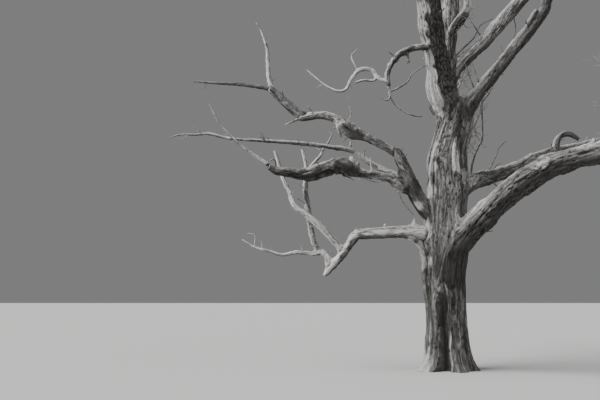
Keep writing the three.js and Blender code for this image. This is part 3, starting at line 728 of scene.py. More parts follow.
def grow(name, finish, end, joins, stations, melt=MELT, **look):
    """Makes one limb: its skin, its joins to the limbs that it leaves, its mesh and its finish."""
    slot, material, usual = FINISHES[finish]
    skin = limb_skin(stations, end, dict(usual, **look), len(skins))
    reach = melt * max(station[3] for station in stations[:3]) / 2
    for other in joins:
        skin.melt(skins[other].line, reach)
    skin.face()
    skin.weather([(skins[other], reach) for other in joins])
    for other in joins:
        skins[other].melt(skin.line, reach)
    skin.piece = make(name + "_relief", material, [skin])
    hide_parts(name)
    skin.finish = finish
    skins[name] = skin
    lines[name] = smooth_line(stations, STEPS_FOR_TWIGS)


grow("leader_left", "silver", "worn", ["trunk"], [
    (0.215, 0, 4.56, 0.46), (0.14, -0.01, 5.15, 0.59), (0.01, -0.05, 5.63, 0.6),
    (-0.05, -0.1, 6.04, 0.51), (-0.12, -0.2, 6.43, 0.48), (-0.21, -0.32, 6.92, 0.49),
    (-0.28, -0.45, 7.41, 0.5), (-0.4, -0.56, 8.15, 0.43)],
    bark=0.66, bark_side=(0.86, -0.5, -0.05), ragged=0.25, melt=0.9)
grow("leader_right_low", "silver", "worn", ["trunk", "leader_left"], [
    (0.44, -0.04, 4.78, 0.33), (0.5, -0.06, 5.12, 0.35), (0.69, -0.1, 5.46, 0.3),
    (1.07, -0.2, 5.94, 0.27), (1.45, -0.3, 6.4, 0.27), (1.84, -0.42, 6.88, 0.25),
    (2.06, -0.52, 7.16, 0.215), (2.13, -0.6, 7.42, 0.215), (2.45, -0.85, 7.95, 0.18)],
    bark=0.25, melt=0.8, dry=0, knobs=0.06)
grow("leader_right_high", "pale", "worn", ["trunk", "leader_left", "leader_right_low"], [
    (0.17, 0.2, 4.98, 0.34), (0.165, 0.2, 5.45, 0.34), (0.235, 0.215, 5.82, 0.29),
    (0.395, 0.24, 6.15, 0.265), (0.56, 0.27, 6.36, 0.275), (0.76, 0.3, 6.56, 0.295),
    (1.13, 0.35, 6.91, 0.3), (1.52, 0.4, 7.36, 0.31), (1.93, 0.45, 7.83, 0.31),
    (2.35, 0.54, 8.45, 0.27)], bark=0.12, melt=1)
grow("stub_right_low", "silver", "snapped", ["leader_right_low"], [
    (1.74, -0.4, 6.74, 0.09), (1.735, -0.5, 6.89, 0.105), (1.8, -0.53, 7.02, 0.095),
    (1.875, -0.56, 7.14, 0.08)], grey=-0.3)
grow("leader_middle", "silver", "twigs", ["trunk", "leader_right_high"], [
    (0.27, 0.18, 5.74, 0.25), (0.285, 0.19, 6.15, 0.235), (0.28, 0.2, 6.59, 0.195),
    (0.35, 0.21, 7.02, 0.19), (0.54, 0.19, 7.29, 0.215), (0.66, 0.14, 7.54, 0.185),
    (0.68, 0.04, 7.96, 0.16), (0.76, -0.26, 8.6, 0.125)])
grow("leader_rear", "silver", "worn", ["trunk", "leader_left", "leader_right_high"], [
    (0.18, 0.23, 5.2, 0.33), (0.25, 0.38, 6, 0.33), (0.33, 0.56, 6.9, 0.35), (0.44, 0.76, 7.64, 0.4),
    (0.52, 0.98, 8.25, 0.37), (0.58, 1.35, 8.9, 0.31)], melt=0.9)

# The crown limbs
# Above the leaders the crown opens on all sides in nine lighter limbs of the same bare wood. Each grows
# out of a leader's worn end and carries a spray of twigs at its own.
grow("crown_left_top", "silver", "twigs", ["leader_left"], [
    (-0.33, -0.52, 7.9, 0.33), (-0.39, -0.64, 8.5, 0.32), (-0.25, -0.72, 9.2, 0.25),
    (-0.34, -0.62, 9.85, 0.18), (-0.2, -0.56, 10.35, 0.12)])
grow("crown_left_out", "silver", "twigs", ["leader_left", "crown_left_top"], [
    (-0.36, -0.5, 7.85, 0.26), (-0.62, -0.5, 8.5, 0.25), (-1.12, -0.62, 9.1, 0.195),
    (-1.5, -0.56, 9.7, 0.14), (-2.05, -0.7, 10.15, 0.085)])
grow("crown_left_front", "silver", "twigs", ["leader_left", "crown_left_top"], [
    (-0.34, -0.56, 7.8, 0.22), (-0.52, -0.9, 8.25, 0.215), (-0.82, -1.5, 8.6, 0.165),
    (-0.9, -2.1, 9.15, 0.12), (-1.25, -2.65, 9.45, 0.075)])
grow("crown_rear_top", "silver", "twigs", ["leader_rear"], [
    (0.56, 1.23, 8.7, 0.27), (0.6, 1.5, 9.15, 0.25), (0.42, 1.85, 9.85, 0.18),
    (0.56, 2.2, 10.5, 0.105)])
grow("crown_rear_left", "silver", "twigs", ["leader_rear", "crown_rear_top"], [
    (0.56, 1.25, 8.68, 0.21), (0.3, 1.62, 9.15, 0.2), (-0.25, 2.15, 9.5, 0.15),
    (-0.62, 2.75, 10, 0.1)])
grow("crown_right_top", "pale", "twigs", ["leader_right_high"], [
    (2.28, 0.52, 8.33, 0.23), (2.6, 0.64, 8.85, 0.21), (2.88, 0.56, 9.5, 0.16),
    (3.25, 0.7, 10.08, 0.1)])
grow("crown_right_rear", "pale", "twigs", ["leader_right_high", "crown_right_top"], [
    (2.26, 0.52, 8.35, 0.18), (2.7, 0.9, 8.7, 0.17), (3.3, 1.5, 9, 0.13), (3.75, 2.15, 9.45, 0.08)])
grow("crown_right_out", "silver", "twigs", ["leader_right_low"], [
    (2.4, -0.8, 7.88, 0.15), (2.8, -1.02, 8.25, 0.15), (3.45, -1.15, 8.52, 0.115),
    (4.05, -1.45, 8.95, 0.07)])
grow("crown_right_front", "silver", "twigs", ["leader_right_low", "crown_right_out"], [
    (2.38, -0.78, 7.86, 0.13), (2.56, -1.25, 8.3, 0.13), (2.38, -1.9, 8.75, 0.095),
    (2.52, -2.55, 9.2, 0.06)])

# The great boughs to the right and the back
# The front one is the heaviest limb of the tree: pale on top, pitted along its side and black beneath in
# painted shade, with a round burl where a branch was lost. The rear one runs behind it with an arched broken
# stub.
grow("bough_right_front", "silver", "worn", ["trunk"], [
    (-0.02, 0, 1.5, 0.3), (0.02, -0.06, 1.98, 0.4), (0.12, -0.2, 2.32, 0.5), (0.35, -0.43, 2.62, 0.51),
    (0.72, -0.85, 3.07, 0.48), (1.05, -1.2, 3.39, 0.47), (1.44, -1.64, 3.645, 0.44),
    (1.76, -2.03, 3.76, 0.405), (2.13, -2.55, 3.77, 0.39), (2.56, -3.12, 3.74, 0.36)],
    melt=0.9, dry=-0.35, grey=0.7, pits=1.4)
grow("bough_right_front_end", "silver", "twigs", ["bough_right_front"], [
    (2.48, -3.01, 3.745, 0.32), (3.15, -3.56, 3.72, 0.32), (3.8, -4.03, 3.87, 0.27),
    (4.4, -4.42, 4.25, 0.205), (5.05, -4.7, 4.5, 0.13)])
grow("bough_right_front_fork", "silver", "twigs", ["bough_right_front_end"], [
    (3.08, -3.48, 3.74, 0.19), (3.5, -3.42, 4.05, 0.185), (4.1, -3.25, 4.5, 0.14),
    (4.6, -2.9, 5.15, 0.09)])
grow("bough_right_rear", "silver", "worn", ["trunk"], [
    (0.12, 0.08, 3.33, 0.36), (0.64, 0.4, 3.74, 0.35), (1.05, 0.7, 3.92, 0.32),
    (1.61, 1.1, 4.12, 0.315), (2.2, 1.5, 4.38, 0.31), (2.81, 1.9, 4.68, 0.3),
    (3.56, 2.35, 4.9, 0.285), (4.33, 2.8, 5.15, 0.265)], dry=0.4, grey=0.2, ribs=0.11)
grow("bough_right_rear_end", "silver", "twigs", ["bough_right_rear"], [
    (4.2, 2.725, 5.108, 0.23), (4.95, 3.15, 5.35, 0.225), (5.7, 3.45, 5.5, 0.17),
    (6.5, 3.9, 5.95, 0.095)])
grow("bough_right_rear_fork", "silver", "twigs", ["bough_right_rear_end"], [
    (4.88, 3.08, 5.32, 0.15), (5.3, 3.6, 5.85, 0.16), (5.42, 4.15, 6.35, 0.12),
    (5.85, 4.6, 6.9, 0.075)])
grow("stub_arched", "silver", "snapped", ["bough_right_rear"], [
    (3.11, 2, 4.77, 0.15), (3.13, 1.96, 5.02, 0.145), (3.28, 1.96, 5.18, 0.14),
    (3.49, 1.98, 5.19, 0.13), (3.66, 2, 5.08, 0.095)], dry=0.4)
grow("shoot_right_tall", "silver", "tip", ["bough_right_rear"], [
    (0.62, 0.41, 3.8, 0.07), (0.7, 0.47, 4.06, 0.066), (0.78, 0.5, 4.34, 0.058), (0.89, 0.52, 4.56, 0.052),
    (0.985, 0.54, 4.78, 0.046), (1.005, 0.55, 5.38, 0.036), (1.035, 0.55, 5.575, 0.032),
    (1.15, 0.55, 5.71, 0.026), (1.29, 0.55, 5.955, 0.016)], bark=0, dry=0.4)
grow("bough_rear", "silver", "twigs", ["trunk"], [
    (0.08, 0.06, 3.75, 0.33), (0.28, 0.7, 4.15, 0.33), (0.6, 1.7, 4.45, 0.285),
    (1.02, 2.9, 4.95, 0.235), (1.35, 3.9, 5.6, 0.16), (1.8, 4.7, 6, 0.1)])
grow("bough_rear_fork", "silver", "twigs", ["bough_rear"], [
    (0.88, 2.5, 4.78, 0.17), (0.98, 3.15, 5.4, 0.165), (1.08, 3.85, 6.2, 0.125),
    (1.38, 4.35, 6.9, 0.075)])

# The low left bough
# It leaves the trunk level, breaks downward at a knee and ends in three thin crooked limbs. Its wood
# is the palest on the tree, without bark.
grow("bough_left_low", "pale", "worn", ["trunk"], [
    (-0.06, -0.04, 2.56, 0.3), (-0.42, -0.09, 2.66, 0.29), (-0.83, -0.12, 2.69, 0.25),
    (-1.29, -0.15, 2.66, 0.235), (-1.74, -0.15, 2.65, 0.215)], melt=1.2, grey=-0.7)
grow("bough_left_drop", "pale", "snapped", ["bough_left_low"], [
    (-1.64, -0.15, 2.65, 0.19), (-1.8, -0.155, 2.61, 0.19), (-1.95, -0.17, 2.4, 0.165),
    (-2.13, -0.2, 2.16, 0.165), (-2.31, -0.22, 1.97, 0.15), (-2.43, -0.245, 1.81, 0.07)], grey=-0.2)
grow("limb_left_rising", "pale", "snapped", ["bough_left_drop"], [
    (-2.06, -0.19, 2.29, 0.12), (-2.28, -0.22, 2.55, 0.13), (-2.53, -0.25, 2.81, 0.13),
    (-2.79, -0.25, 3.02, 0.12), (-3.01, -0.24, 3.19, 0.115), (-3.11, -0.2, 3.46, 0.095),
    (-3.25, -0.19, 3.78, 0.09), (-3.34, -0.15, 4.1, 0.08), (-3.41, -0.1, 4.33, 0.065)], grey=-0.5)
grow("limb_left_upturn", "pale", "tip", ["bough_left_drop"], [
    (-2.3, -0.22, 1.95, 0.13), (-2.35, -0.205, 2.09, 0.155), (-2.395, -0.17, 2.22, 0.145),
    (-2.48, -0.15, 2.29, 0.13), (-2.66, -0.15, 2.25, 0.09), (-2.96, -0.15, 2.28, 0.075),
    (-3.26, -0.15, 2.23, 0.062), (-3.53, -0.15, 2.31, 0.052), (-3.81, -0.12, 2.39, 0.04),
    (-4.04, -0.1, 2.53, 0.024)], grey=-0.6)
grow("limb_left_grey", "pale", "snapped", ["limb_left_upturn"], [
    (-2.49, -0.15, 2.29, 0.1), (-2.61, -0.13, 2.45, 0.12), (-2.7, -0.08, 2.83, 0.12),
    (-2.74, -0.05, 3.17, 0.135), (-2.79, 0, 3.55, 0.115), (-2.765, 0.05, 3.97, 0.095),
    (-2.84, 0.1, 4.4, 0.07)], grey=0.2)
grow("limb_left_grey_fork", "pale", "tip", ["limb_left_grey"], [
    (-2.765, 0.04, 3.93, 0.06), (-2.675, 0.06, 4.06, 0.072), (-2.49, 0.19, 4.285, 0.062),
    (-2.4, 0.34, 4.49, 0.052), (-2.3, 0.4, 4.645, 0.042), (-2.23, 0.41, 4.795, 0.03),
    (-2.275, 0.425, 4.86, 0.018)], grey=-0.4)

# The middle left bough
# It climbs from the trunk, snapped off at its top, and goes on as a lighter arch with a hollow knuckle,
# which ends in a raised limb, a spire and a long feeler.
grow("bough_left_middle", "silver", "snapped", ["trunk"], [
    (0.06, -0.04, 2.9, 0.29), (-0.32, -0.08, 3.09, 0.33), (-0.55, -0.08, 3.39, 0.3),
    (-0.71, -0.05, 3.8, 0.28), (-0.83, 0, 4.13, 0.235), (-0.93, 0.03, 4.37, 0.16)], dry=-0.5, grey=0.9)
grow("bough_left_arch", "pale", "tip", ["bough_left_middle"], [
    (-0.85, 0.015, 4.21, 0.14), (-1.09, 0.05, 4.42, 0.17), (-1.44, 0.08, 4.62, 0.18),
    (-1.63, 0.09, 4.7, 0.22), (-1.79, 0.1, 4.78, 0.32), (-1.94, 0.11, 4.88, 0.33),
    (-2.08, 0.13, 5.01, 0.24), (-2.2, 0.145, 5.09, 0.195), (-2.4, 0.16, 5.155, 0.185),
    (-2.65, 0.2, 5.15, 0.17), (-2.88, 0.22, 5.105, 0.13)], grey=0.2, knobs=0.04)
grow("limb_left_raised", "silver", "worn", ["bough_left_arch"], [
    (-2.73, 0.205, 5.13, 0.12), (-2.96, 0.24, 5.24, 0.18), (-3.24, 0.3, 5.5, 0.185),
    (-3.49, 0.35, 5.74, 0.15)])
grow("limb_left_spire", "pale", "tip", ["limb_left_raised"], [
    (-3.42, 0.335, 5.68, 0.09), (-3.55, 0.39, 5.98, 0.1), (-3.59, 0.45, 6.37, 0.088),
    (-3.62, 0.5, 6.75, 0.068), (-3.75, 0.55, 7.16, 0.044), (-3.86, 0.58, 7.35, 0.022)])
grow("limb_left_feeler", "silver", "tip", ["limb_left_raised", "limb_left_spire"], [
    (-3.4, 0.34, 5.69, 0.08), (-3.62, 0.4, 5.81, 0.098), (-3.9, 0.48, 5.89, 0.086),
    (-4.29, 0.6, 5.97, 0.076), (-4.76, 0.75, 6.04, 0.056), (-5.25, 0.9, 6.13, 0.026)])

# The limbs that cross to the left
# One is thick, dark and knobby, with a pale splintered stub, and carries a straight stick. The other is
# a long thin pole of bare wood.
grow("limb_left_dark", "dark", "snapped", ["bough_left_middle"], [
    (-0.66, -0.07, 3.48, 0.15), (-0.88, -0.13, 3.6, 0.2), (-1.06, -0.22, 3.71, 0.2),
    (-1.24, -0.32, 3.765, 0.175), (-1.53, -0.46, 3.78, 0.17), (-1.87, -0.66, 3.805, 0.2),
    (-2.05, -0.77, 3.865, 0.285), (-2.26, -0.85, 3.875, 0.285), (-2.58, -0.9, 3.755, 0.29),
    (-2.84, -0.95, 3.69, 0.215), (-3.12, -1, 3.73, 0.195), (-3.35, -1.06, 3.745, 0.16),
    (-3.48, -1.11, 3.81, 0.11)])
grow("stub_left_pale", "pale", "snapped", ["limb_left_dark"], [
    (-1.89, -0.7, 3.8, 0.15), (-1.89, -0.715, 3.9, 0.12), (-1.9, -0.72, 4, 0.08),
    (-1.908, -0.72, 4.1, 0.045)], grey=-0.8)
grow("limb_left_stick", "silver", "tip", ["limb_left_dark"], [
    (-3.38, -1.095, 3.79, 0.06), (-3.59, -1.13, 3.92, 0.058), (-3.85, -1.16, 4.09, 0.05),
    (-4.09, -1.2, 4.27, 0.044), (-4.39, -1.25, 4.59, 0.036), (-4.59, -1.3, 4.96, 0.02)],
    bark=0, dry=0.9, grey=-0.9)
grow("limb_left_long", "silver", "tip", ["bough_left_middle", "limb_left_dark"], [
    (-0.69, -0.01, 3.72, 0.11), (-0.98, 0.06, 3.89, 0.13), (-1.26, 0.1, 4.02, 0.125),
    (-1.56, 0.13, 4.21, 0.12), (-1.83, 0.16, 4.4, 0.118), (-2.28, 0.2, 4.49, 0.1),
    (-2.94, 0.25, 4.58, 0.09), (-3.63, 0.3, 4.64, 0.076), (-3.98, 0.34, 4.672, 0.072),
    (-4.27, 0.37, 4.695, 0.07), (-4.54, 0.4, 4.745, 0.066), (-4.84, 0.43, 4.825, 0.062),
    (-5.1, 0.45, 4.81, 0.048), (-5.42, 0.48, 4.82, 0.036), (-5.64, 0.5, 4.77, 0.018)],
    grey=-0.3, dry=0.3, bark=0)

# The curled limb on the upper left
# It leaves the left leader under dark bark and curls down. There it splinters, and goes on in a hook of
# pale thin wood out to the left.
grow("limb_left_curl", "dark", "tip", ["leader_left"], [
    (-0.13, -0.26, 6.46, 0.13), (-0.48, -0.44, 6.4, 0.135), (-0.8, -0.55, 6.28, 0.12),
    (-1, -0.62, 6.1, 0.115), (-1.12, -0.68, 5.92, 0.105), (-1.185, -0.72, 5.7, 0.095),
    (-1.165, -0.75, 5.51, 0.072)])
grow("limb_left_hook", "pale", "tip", ["limb_left_curl"], [
    (-1.16, -0.745, 5.56, 0.075), (-1.38, -0.73, 5.68, 0.085), (-1.49, -0.72, 5.82, 0.085),
    (-1.71, -0.7, 5.84, 0.08), (-1.88, -0.68, 5.67, 0.064), (-2, -0.67, 5.45, 0.056),
    (-2.18, -0.66, 5.42, 0.048), (-2.43, -0.64, 5.56, 0.038), (-2.76, -0.6, 5.86, 0.024)], grey=-0.9)

# The strands of the trunk
# Old wood stands out from the trunk in ropes where it fed the limbs above: a lit ridge up the middle,
# which ends in a swelling, and pale strips down the left edge. They are one wood with the trunk.
STRAND_SUNK = 0.12
STRAND_END_SUNK = 1.1
STRAND_FILLET = 0.1
# Heights and bearings on the trunk, and widths
STRANDS = [
    [(4.8, -88, 0.06), (4.5, -88, 0.1), (4.2, -86, 0.11), (3.9, -83, 0.12), (3.75, -70, 0.14),
     (3.72, -45, 0.12)],
    [(5.3, -172, 0.08), (5, -166, 0.11), (4.6, -168, 0.1), (4.2, -172, 0.11), (3.8, -175, 0.12),
     (3.4, -170, 0.11), (3, -165, 0.08)],
    [(5.2, -140, 0.07), (4.9, -136, 0.1), (4.5, -143, 0.1), (4.1, -150, 0.11), (3.7, -150, 0.12),
     (3.2, -144, 0.11), (2.8, -138, 0.08)],
    [(2.3, -178, 0.08), (2, -170, 0.12), (1.6, -167, 0.14), (1.2, -165, 0.13), (0.8, -163, 0.13),
     (0.45, -160, 0.15), (0.15, -158, 0.16)],
    [(2.6, -88, 0.1), (2.3, -97, 0.12), (1.95, -106, 0.12), (1.6, -120, 0.11), (1.25, -134, 0.1),
     (0.9, -140, 0.08)],
]
# The pale strip under the low left bough, in places and widths
SWEEP = [
    (-0.92, -0.17, 2.61, 0.07), (-0.8, -0.18, 2.585, 0.09), (-0.67, -0.19, 2.53, 0.1),
    (-0.565, -0.19, 2.44, 0.11), (-0.5, -0.18, 2.31, 0.12), (-0.45, -0.16, 2.12, 0.13),
    (-0.4, -0.13, 1.85, 0.12), (-0.33, -0.1, 1.55, 0.08),
]


def on_trunk(height, bearing, proud):
    """The place on the trunk's plain skin at a height and a bearing, moved out of it by a distance."""
    row = np.array([np.interp(height, trunk.run, trunk.centres[:, 0]), 0, height])
    half = np.interp(height, trunk.run, trunk.half)
    reach = half * trunk_shape(np.array(bearing), np.array(height)) + proud
    turn = math.radians(bearing)
    return row + reach * np.array([math.cos(turn), TRUNK_DEPTH * math.sin(turn), 0])


def strand_stations(strand):
    """Places and widths along a strand, which lies on the trunk and dives into it at both ends."""
    stations = []
    for i, (height, bearing, width) in enumerate(strand):
        sunk = STRAND_END_SUNK if i in (0, len(strand) - 1) else STRAND_SUNK
        stations.append((*on_trunk(height, bearing, -sunk * width), width))
    return stations


strands = []
for stations in [strand_stations(strand) for strand in STRANDS] + [SWEEP]:
    strand = limb_skin(stations, "worn", BARE, len(skins) + len(strands))
    strand.melt(trunk.line, STRAND_FILLET)
    strand.face()
    strand.weather([(trunk, STRAND_FILLET)])
    trunk.melt(strand.line, STRAND_FILLET)
    strands.append(strand)
piece = make("trunk_strands", trunk_wood, strands)

# The stubs and shoots
# Where side branches broke off, splintered stubs are left, and a few thin crooked shoots still stand.
# Each grows out of its limb at a share of the limb's length, in steps of a heading and a length.
# How thin a stub gets, how far out in its limb it starts and how far its fillet reaches, as shares
STUB_THIN = {"snapped": 0.75, "tip": 0.3}
STUB_ROOT = 0.4
STUB_FILLET = 0.8
# Each stub's limb, its place on it, its width and its end, then the heading and length of each step
STUBS_RIGHT = [
    ("bough_right_rear", 0.24, 0.045, "tip",
     [(0.4, 0, 0.9, 0.2), (0.5, 0, 0.9, 0.16), (0.4, 0, 0.9, 0.2), (0.7, 0, 0.7, 0.22)]),
    ("bough_right_rear", 0.26, 0.03, "tip", [(0.5, -0.1, 0.8, 0.12), (0.9, 0, 0.5, 0.12)]),
    ("bough_right_front", 0.8, 0.15, "snapped", [(-0.1, -0.3, 0.9, 0.05)]),
    ("leader_right_low", 0.2, 0.045, "tip", [(-0.4, -0.2, 0.9, 0.2), (-0.3, 0, 1, 0.35)]),
    ("leader_right_low", 0.23, 0.035, "tip", [(-0.3, -0.3, 0.9, 0.15), (-0.3, 0, 1, 0.4)]),
    ("leader_right_high", 0.22, 0.06, "tip",
     [(-0.7, -0.3, 0.6, 0.03), (0.5, 0, 0.85, 0.5), (0.7, 0, 0.7, 0.5), (0.5, 0, 0.85, 0.35),
      (0.9, 0, 0.5, 0.3)]),
    ("leader_right_high", 0.16, 0.035, "tip", [(0.3, -0.3, -0.9, 0.1), (-0.1, 0, -1, 0.45)]),
    ("leader_right_high", 0.49, 0.04, "tip", [(-0.5, 0, 0.9, 0.2), (-0.5, 0, 0.8, 0.2)]),
    ("leader_right_high", 0.72, 0.03, "tip", [(0.1, 0, -1, 0.3), (-0.3, 0, -1, 0.3)]),
    ("leader_middle", 0.31, 0.035, "tip", [(-0.5, -0.3, -0.8, 0.15), (-0.1, 0, -1, 0.2), (0.2, 0, -1, 0.15)]),
]
STUBS_LEFT = [
    ("leader_left", 0.4, 0.035, "snapped", [(-1, -0.3, 0.5, 0.1)]),
    ("leader_left", 0.71, 0.05, "snapped",
     [(-0.8, -0.4, 0.5, 0.05), (-0.2, 0, 1, 0.12), (0.5, 0.2, 0.9, 0.09)]),
    ("leader_left", 0.74, 0.035, "tip", [(-1, -0.2, 0.3, 0.15), (-0.7, 0, -0.7, 0.2)]),
    ("limb_left_curl", 0.42, 0.08, "snapped", [(0.15, 0, -1, 0.2)]),
    ("limb_left_curl", 0.97, 0.05, "tip", [(0.1, 0, -1, 0.22), (-0.7, 0, -0.7, 0.1), (-1, 0, 0.5, 0.12)]),
    ("limb_left_curl", 0.95, 0.045, "tip",
     [(0.1, 0, -1, 0.2), (0.4, 0, -0.9, 0.2), (0.75, 0, -0.65, 0.25), (0.9, 0, -0.4, 0.22),
      (1, 0, -0.1, 0.15)]),
    ("limb_left_curl", 0.96, 0.045, "tip",
     [(0.1, 0, -1, 0.12), (0.85, -0.1, 0.3, 0.22), (0.8, 0, 0.6, 0.2), (0.5, 0, 0.9, 0.16),
      (0.85, 0, 0.6, 0.25), (1, 0, 0.3, 0.12)]),
    ("limb_left_hook", 0.13, 0.06, "snapped", [(-0.6, 0, -0.8, 0.06), (-1, 0, 0, 0.2), (-1, 0, -0.3, 0.16)]),
    ("limb_left_hook", 0.34, 0.045, "tip", [(-0.4, 0, 0.9, 0.27), (0.5, 0, 0.8, 0.15), (0.7, 0, 0.7, 0.09)]),
    ("bough_left_arch", 0.63, 0.11, "tip", [(-0.1, -0.4, -0.9, 0.06), (0.3, 0, -1, 0.2)]),
    ("bough_left_arch", 0.55, 0.03, "tip", [(0.4, 0, 0.9, 0.13), (-0.2, 0, 1, 0.15), (-0.2, 0, 1, 0.26)]),
    ("bough_left_arch", 0.98, 0.06, "tip", [(-0.9, 0, -0.4, 0.28)]),
    ("limb_left_dark", 0.12, 0.035, "tip", [(0.3, -0.2, -1, 0.3), (0.6, 0, -0.8, 0.35)]),
    ("limb_left_dark", 0.3, 0.04, "tip", [(-0.1, 0, 1, 0.26)]),
    ("limb_left_dark", 0.41, 0.12, "tip", [(0.1, -0.6, 1, 0.1)]),
    ("limb_left_long", 0.265, 0.055, "snapped", [(0.1, -0.1, 1, 0.12)]),
    ("limb_left_dark", 0.51, 0.035, "tip", [(0.2, -0.5, -0.9, 0.05), (0.8, 0, -0.6, 0.2)]),
    ("limb_left_dark", 0.36, 0.035, "tip",
     [(-0.2, -0.5, -0.9, 0.02), (0.9, 0, -0.3, 0.25), (1, 0, 0.1, 0.12)]),
    ("limb_left_long", 0.88, 0.018, "tip", [(-0.4, 0, 0.9, 0.1), (-0.9, 0, 0.4, 0.14)]),
    ("limb_left_long", 0.93, 0.014, "tip", [(-0.5, -0.3, -0.8, 0.08), (-0.9, 0, -0.2, 0.12)]),
    ("bough_left_low", 0.64, 0.065, "snapped", [(0, 0, 1, 0.06)]),
    ("bough_left_low", 0.34, 0.14, "tip", [(0.15, -0.2, 1, 0.12)]),
    ("limb_left_upturn", 0.86, 0.022, "tip", [(0, 0, 1, 0.21), (-1, 0, 0.3, 0.15)]),
]


def stub_skin(carrier, share, width, end, steps, seed, fillet=True):
    """The skin of a stub or shoot that leaves a limb and bends from step to step."""
    limb = skins[carrier]
    run = share * limb.run[-1]
    place = np.array([np.interp(run, limb.run, limb.centres[:, i]) for i in range(3)])
    half = np.interp(run, limb.run, limb.half)
    first = unit(np.array(steps[0][:3]))
    root = max(half - width, STUB_ROOT * half)
    places = [place + first * root, place + first * (half + steps[0][3])]
    for step in steps[1:]:
        places.append(places[-1] + unit(np.array(step[:3])) * step[3])
    widths = np.linspace(1, STUB_THIN[end], len(places)) * width
    skin = limb_skin([(*place, wide) for place, wide in zip(places, widths)], end, limb.look, seed)
    reach = STUB_FILLET * width
    skin.melt(limb.line, reach)
    skin.face()
    skin.weather([(limb, reach)])
    if fillet:
        limb.melt(skin.line, reach)
    return skin


for name, finish, stubs in (("stubs_right", "silver", STUBS_RIGHT), ("stubs_left", "pale", STUBS_LEFT)):
    grown = [stub_skin(*stub, len(skins) + i) for i, stub in enumerate(stubs)]
    piece = make(name, FINISHES[finish][1], grown)

# The spurs
# Side twigs broke off close to every limb and left short thin spurs, which point outward and a little
# ahead. The crown's limbs still carry longer ones. A seeded rule sets each kind on all sides.
CROWN_LIMBS = [
    "crown_left_top", "crown_left_out", "crown_left_front", "crown_rear_top", "crown_rear_left",
    "crown_right_top", "crown_right_rear", "crown_right_out", "crown_right_front", "leader_middle",
    "bough_right_front_end", "bough_right_front_fork", "bough_right_rear_end", "bough_right_rear_fork",
    "bough_rear", "bough_rear_fork",
]
# How far apart spurs are, where on the limb, how wide and long, how far ahead and up they point and how
# they bend, the thickest as a share of the limb's radius, the share of each step and how they end
SPURS = {
    "seed": 31, "apart": 0.5, "on": (0.15, 0.95), "width": (0.014, 0.03), "length": (0.05, 0.22),
    "ahead": 0.5, "up": 0.2, "bend": 0.35, "thickest": 0.5, "steps": [0.6, 0.4], "ends": ["tip", "snapped"],
}
CROWN_SPURS = dict(SPURS, seed=47, apart=0.17, on=(0.3, 0.97), width=(0.012, 0.024), length=(0.2, 0.75),
                   ahead=0.8, up=0.3, bend=0.5, steps=[0.4, 0.35, 0.25], ends=["tip"])
spurs = {finish: [] for finish in FINISHES}
for rule, names in ((SPURS, lines), (CROWN_SPURS, CROWN_LIMBS)):
    random = np.random.default_rng(rule["seed"])
    for name in names:
        limb = skins[name]
        for _ in range(int(limb.run[-1] / rule["apart"])):
            share, turn = random.uniform(*rule["on"]), random.uniform(0, 2 * math.pi)
            width, length = random.uniform(*rule["width"]), random.uniform(*rule["length"])
            row = int(share * (len(limb.run) - 1))
            out = limb.across[row] * math.cos(turn) + limb.up[row] * math.sin(turn)
            out = out + rule["ahead"] * limb.ahead[row] + np.array([0, 0, rule["up"]])
            bend = unit(out) + random.normal(scale=rule["bend"], size=3)
            end = str(random.choice(rule["ends"]))
            width = min(width, rule["thickest"] * limb.half[row])
            ways = [out, bend, unit(out) + unit(bend)]
            steps = [(*way, part * length) for way, part in zip(ways, rule["steps"])]
            spur = stub_skin(name, share, width, end, steps, len(skins) + row, fillet=False)
            spurs[limb.finish].append(spur)
for finish, grown in spurs.items():
    piece = make("spurs_" + finish, FINISHES[finish][1], grown)

# The twigs
# Each end of the crown carries a spray of bare twigs, which branch by one seeded rule from a stem at
# the limb's tip. The first shoots are those of the solid model, and finer ones grow on from them.
SEED_STEP = 16807
SEED_RANGE = 2147483647
FINE_SEED = 1000
STEM_SUNK = 0.03
# Each mass's limb, its seed, its reach and how strongly its shoots turn up
MASSES = [
    ("mass_left_top", "crown_left_top", 11, 1.3, 0.5), ("mass_left_out", "crown_left_out", 23, 1.4, 0.35),
    ("mass_left_front", "crown_left_front", 37, 1.3, 0.3), ("mass_middle", "leader_middle", 41, 1.4, 0.4),
    ("mass_rear_top", "crown_rear_top", 53, 1.3, 0.45), ("mass_rear_left", "crown_rear_left", 67, 1.4, 0.3),
    ("mass_right_top", "crown_right_top", 71, 1.35, 0.4),
    ("mass_right_rear", "crown_right_rear", 83, 1.35, 0.3),
    ("mass_right_out", "crown_right_out", 97, 1.35, 0.25),
    ("mass_right_front", "crown_right_front", 101, 1.25, 0.3),
    ("mass_bough_front", "bough_right_front_end", 113, 1.5, 0.25),
    ("mass_bough_fork", "bough_right_front_fork", 127, 1.4, 0.3),
    ("mass_bough_right", "bough_right_rear_end", 131, 1.45, 0.25),
    ("mass_bough_right_fork", "bough_right_rear_fork", 149, 1.35, 0.35),
    ("mass_rear_low", "bough_rear", 151, 1.3, 0.3), ("mass_rear_high", "bough_rear_fork", 163, 1.25, 0.4),
]
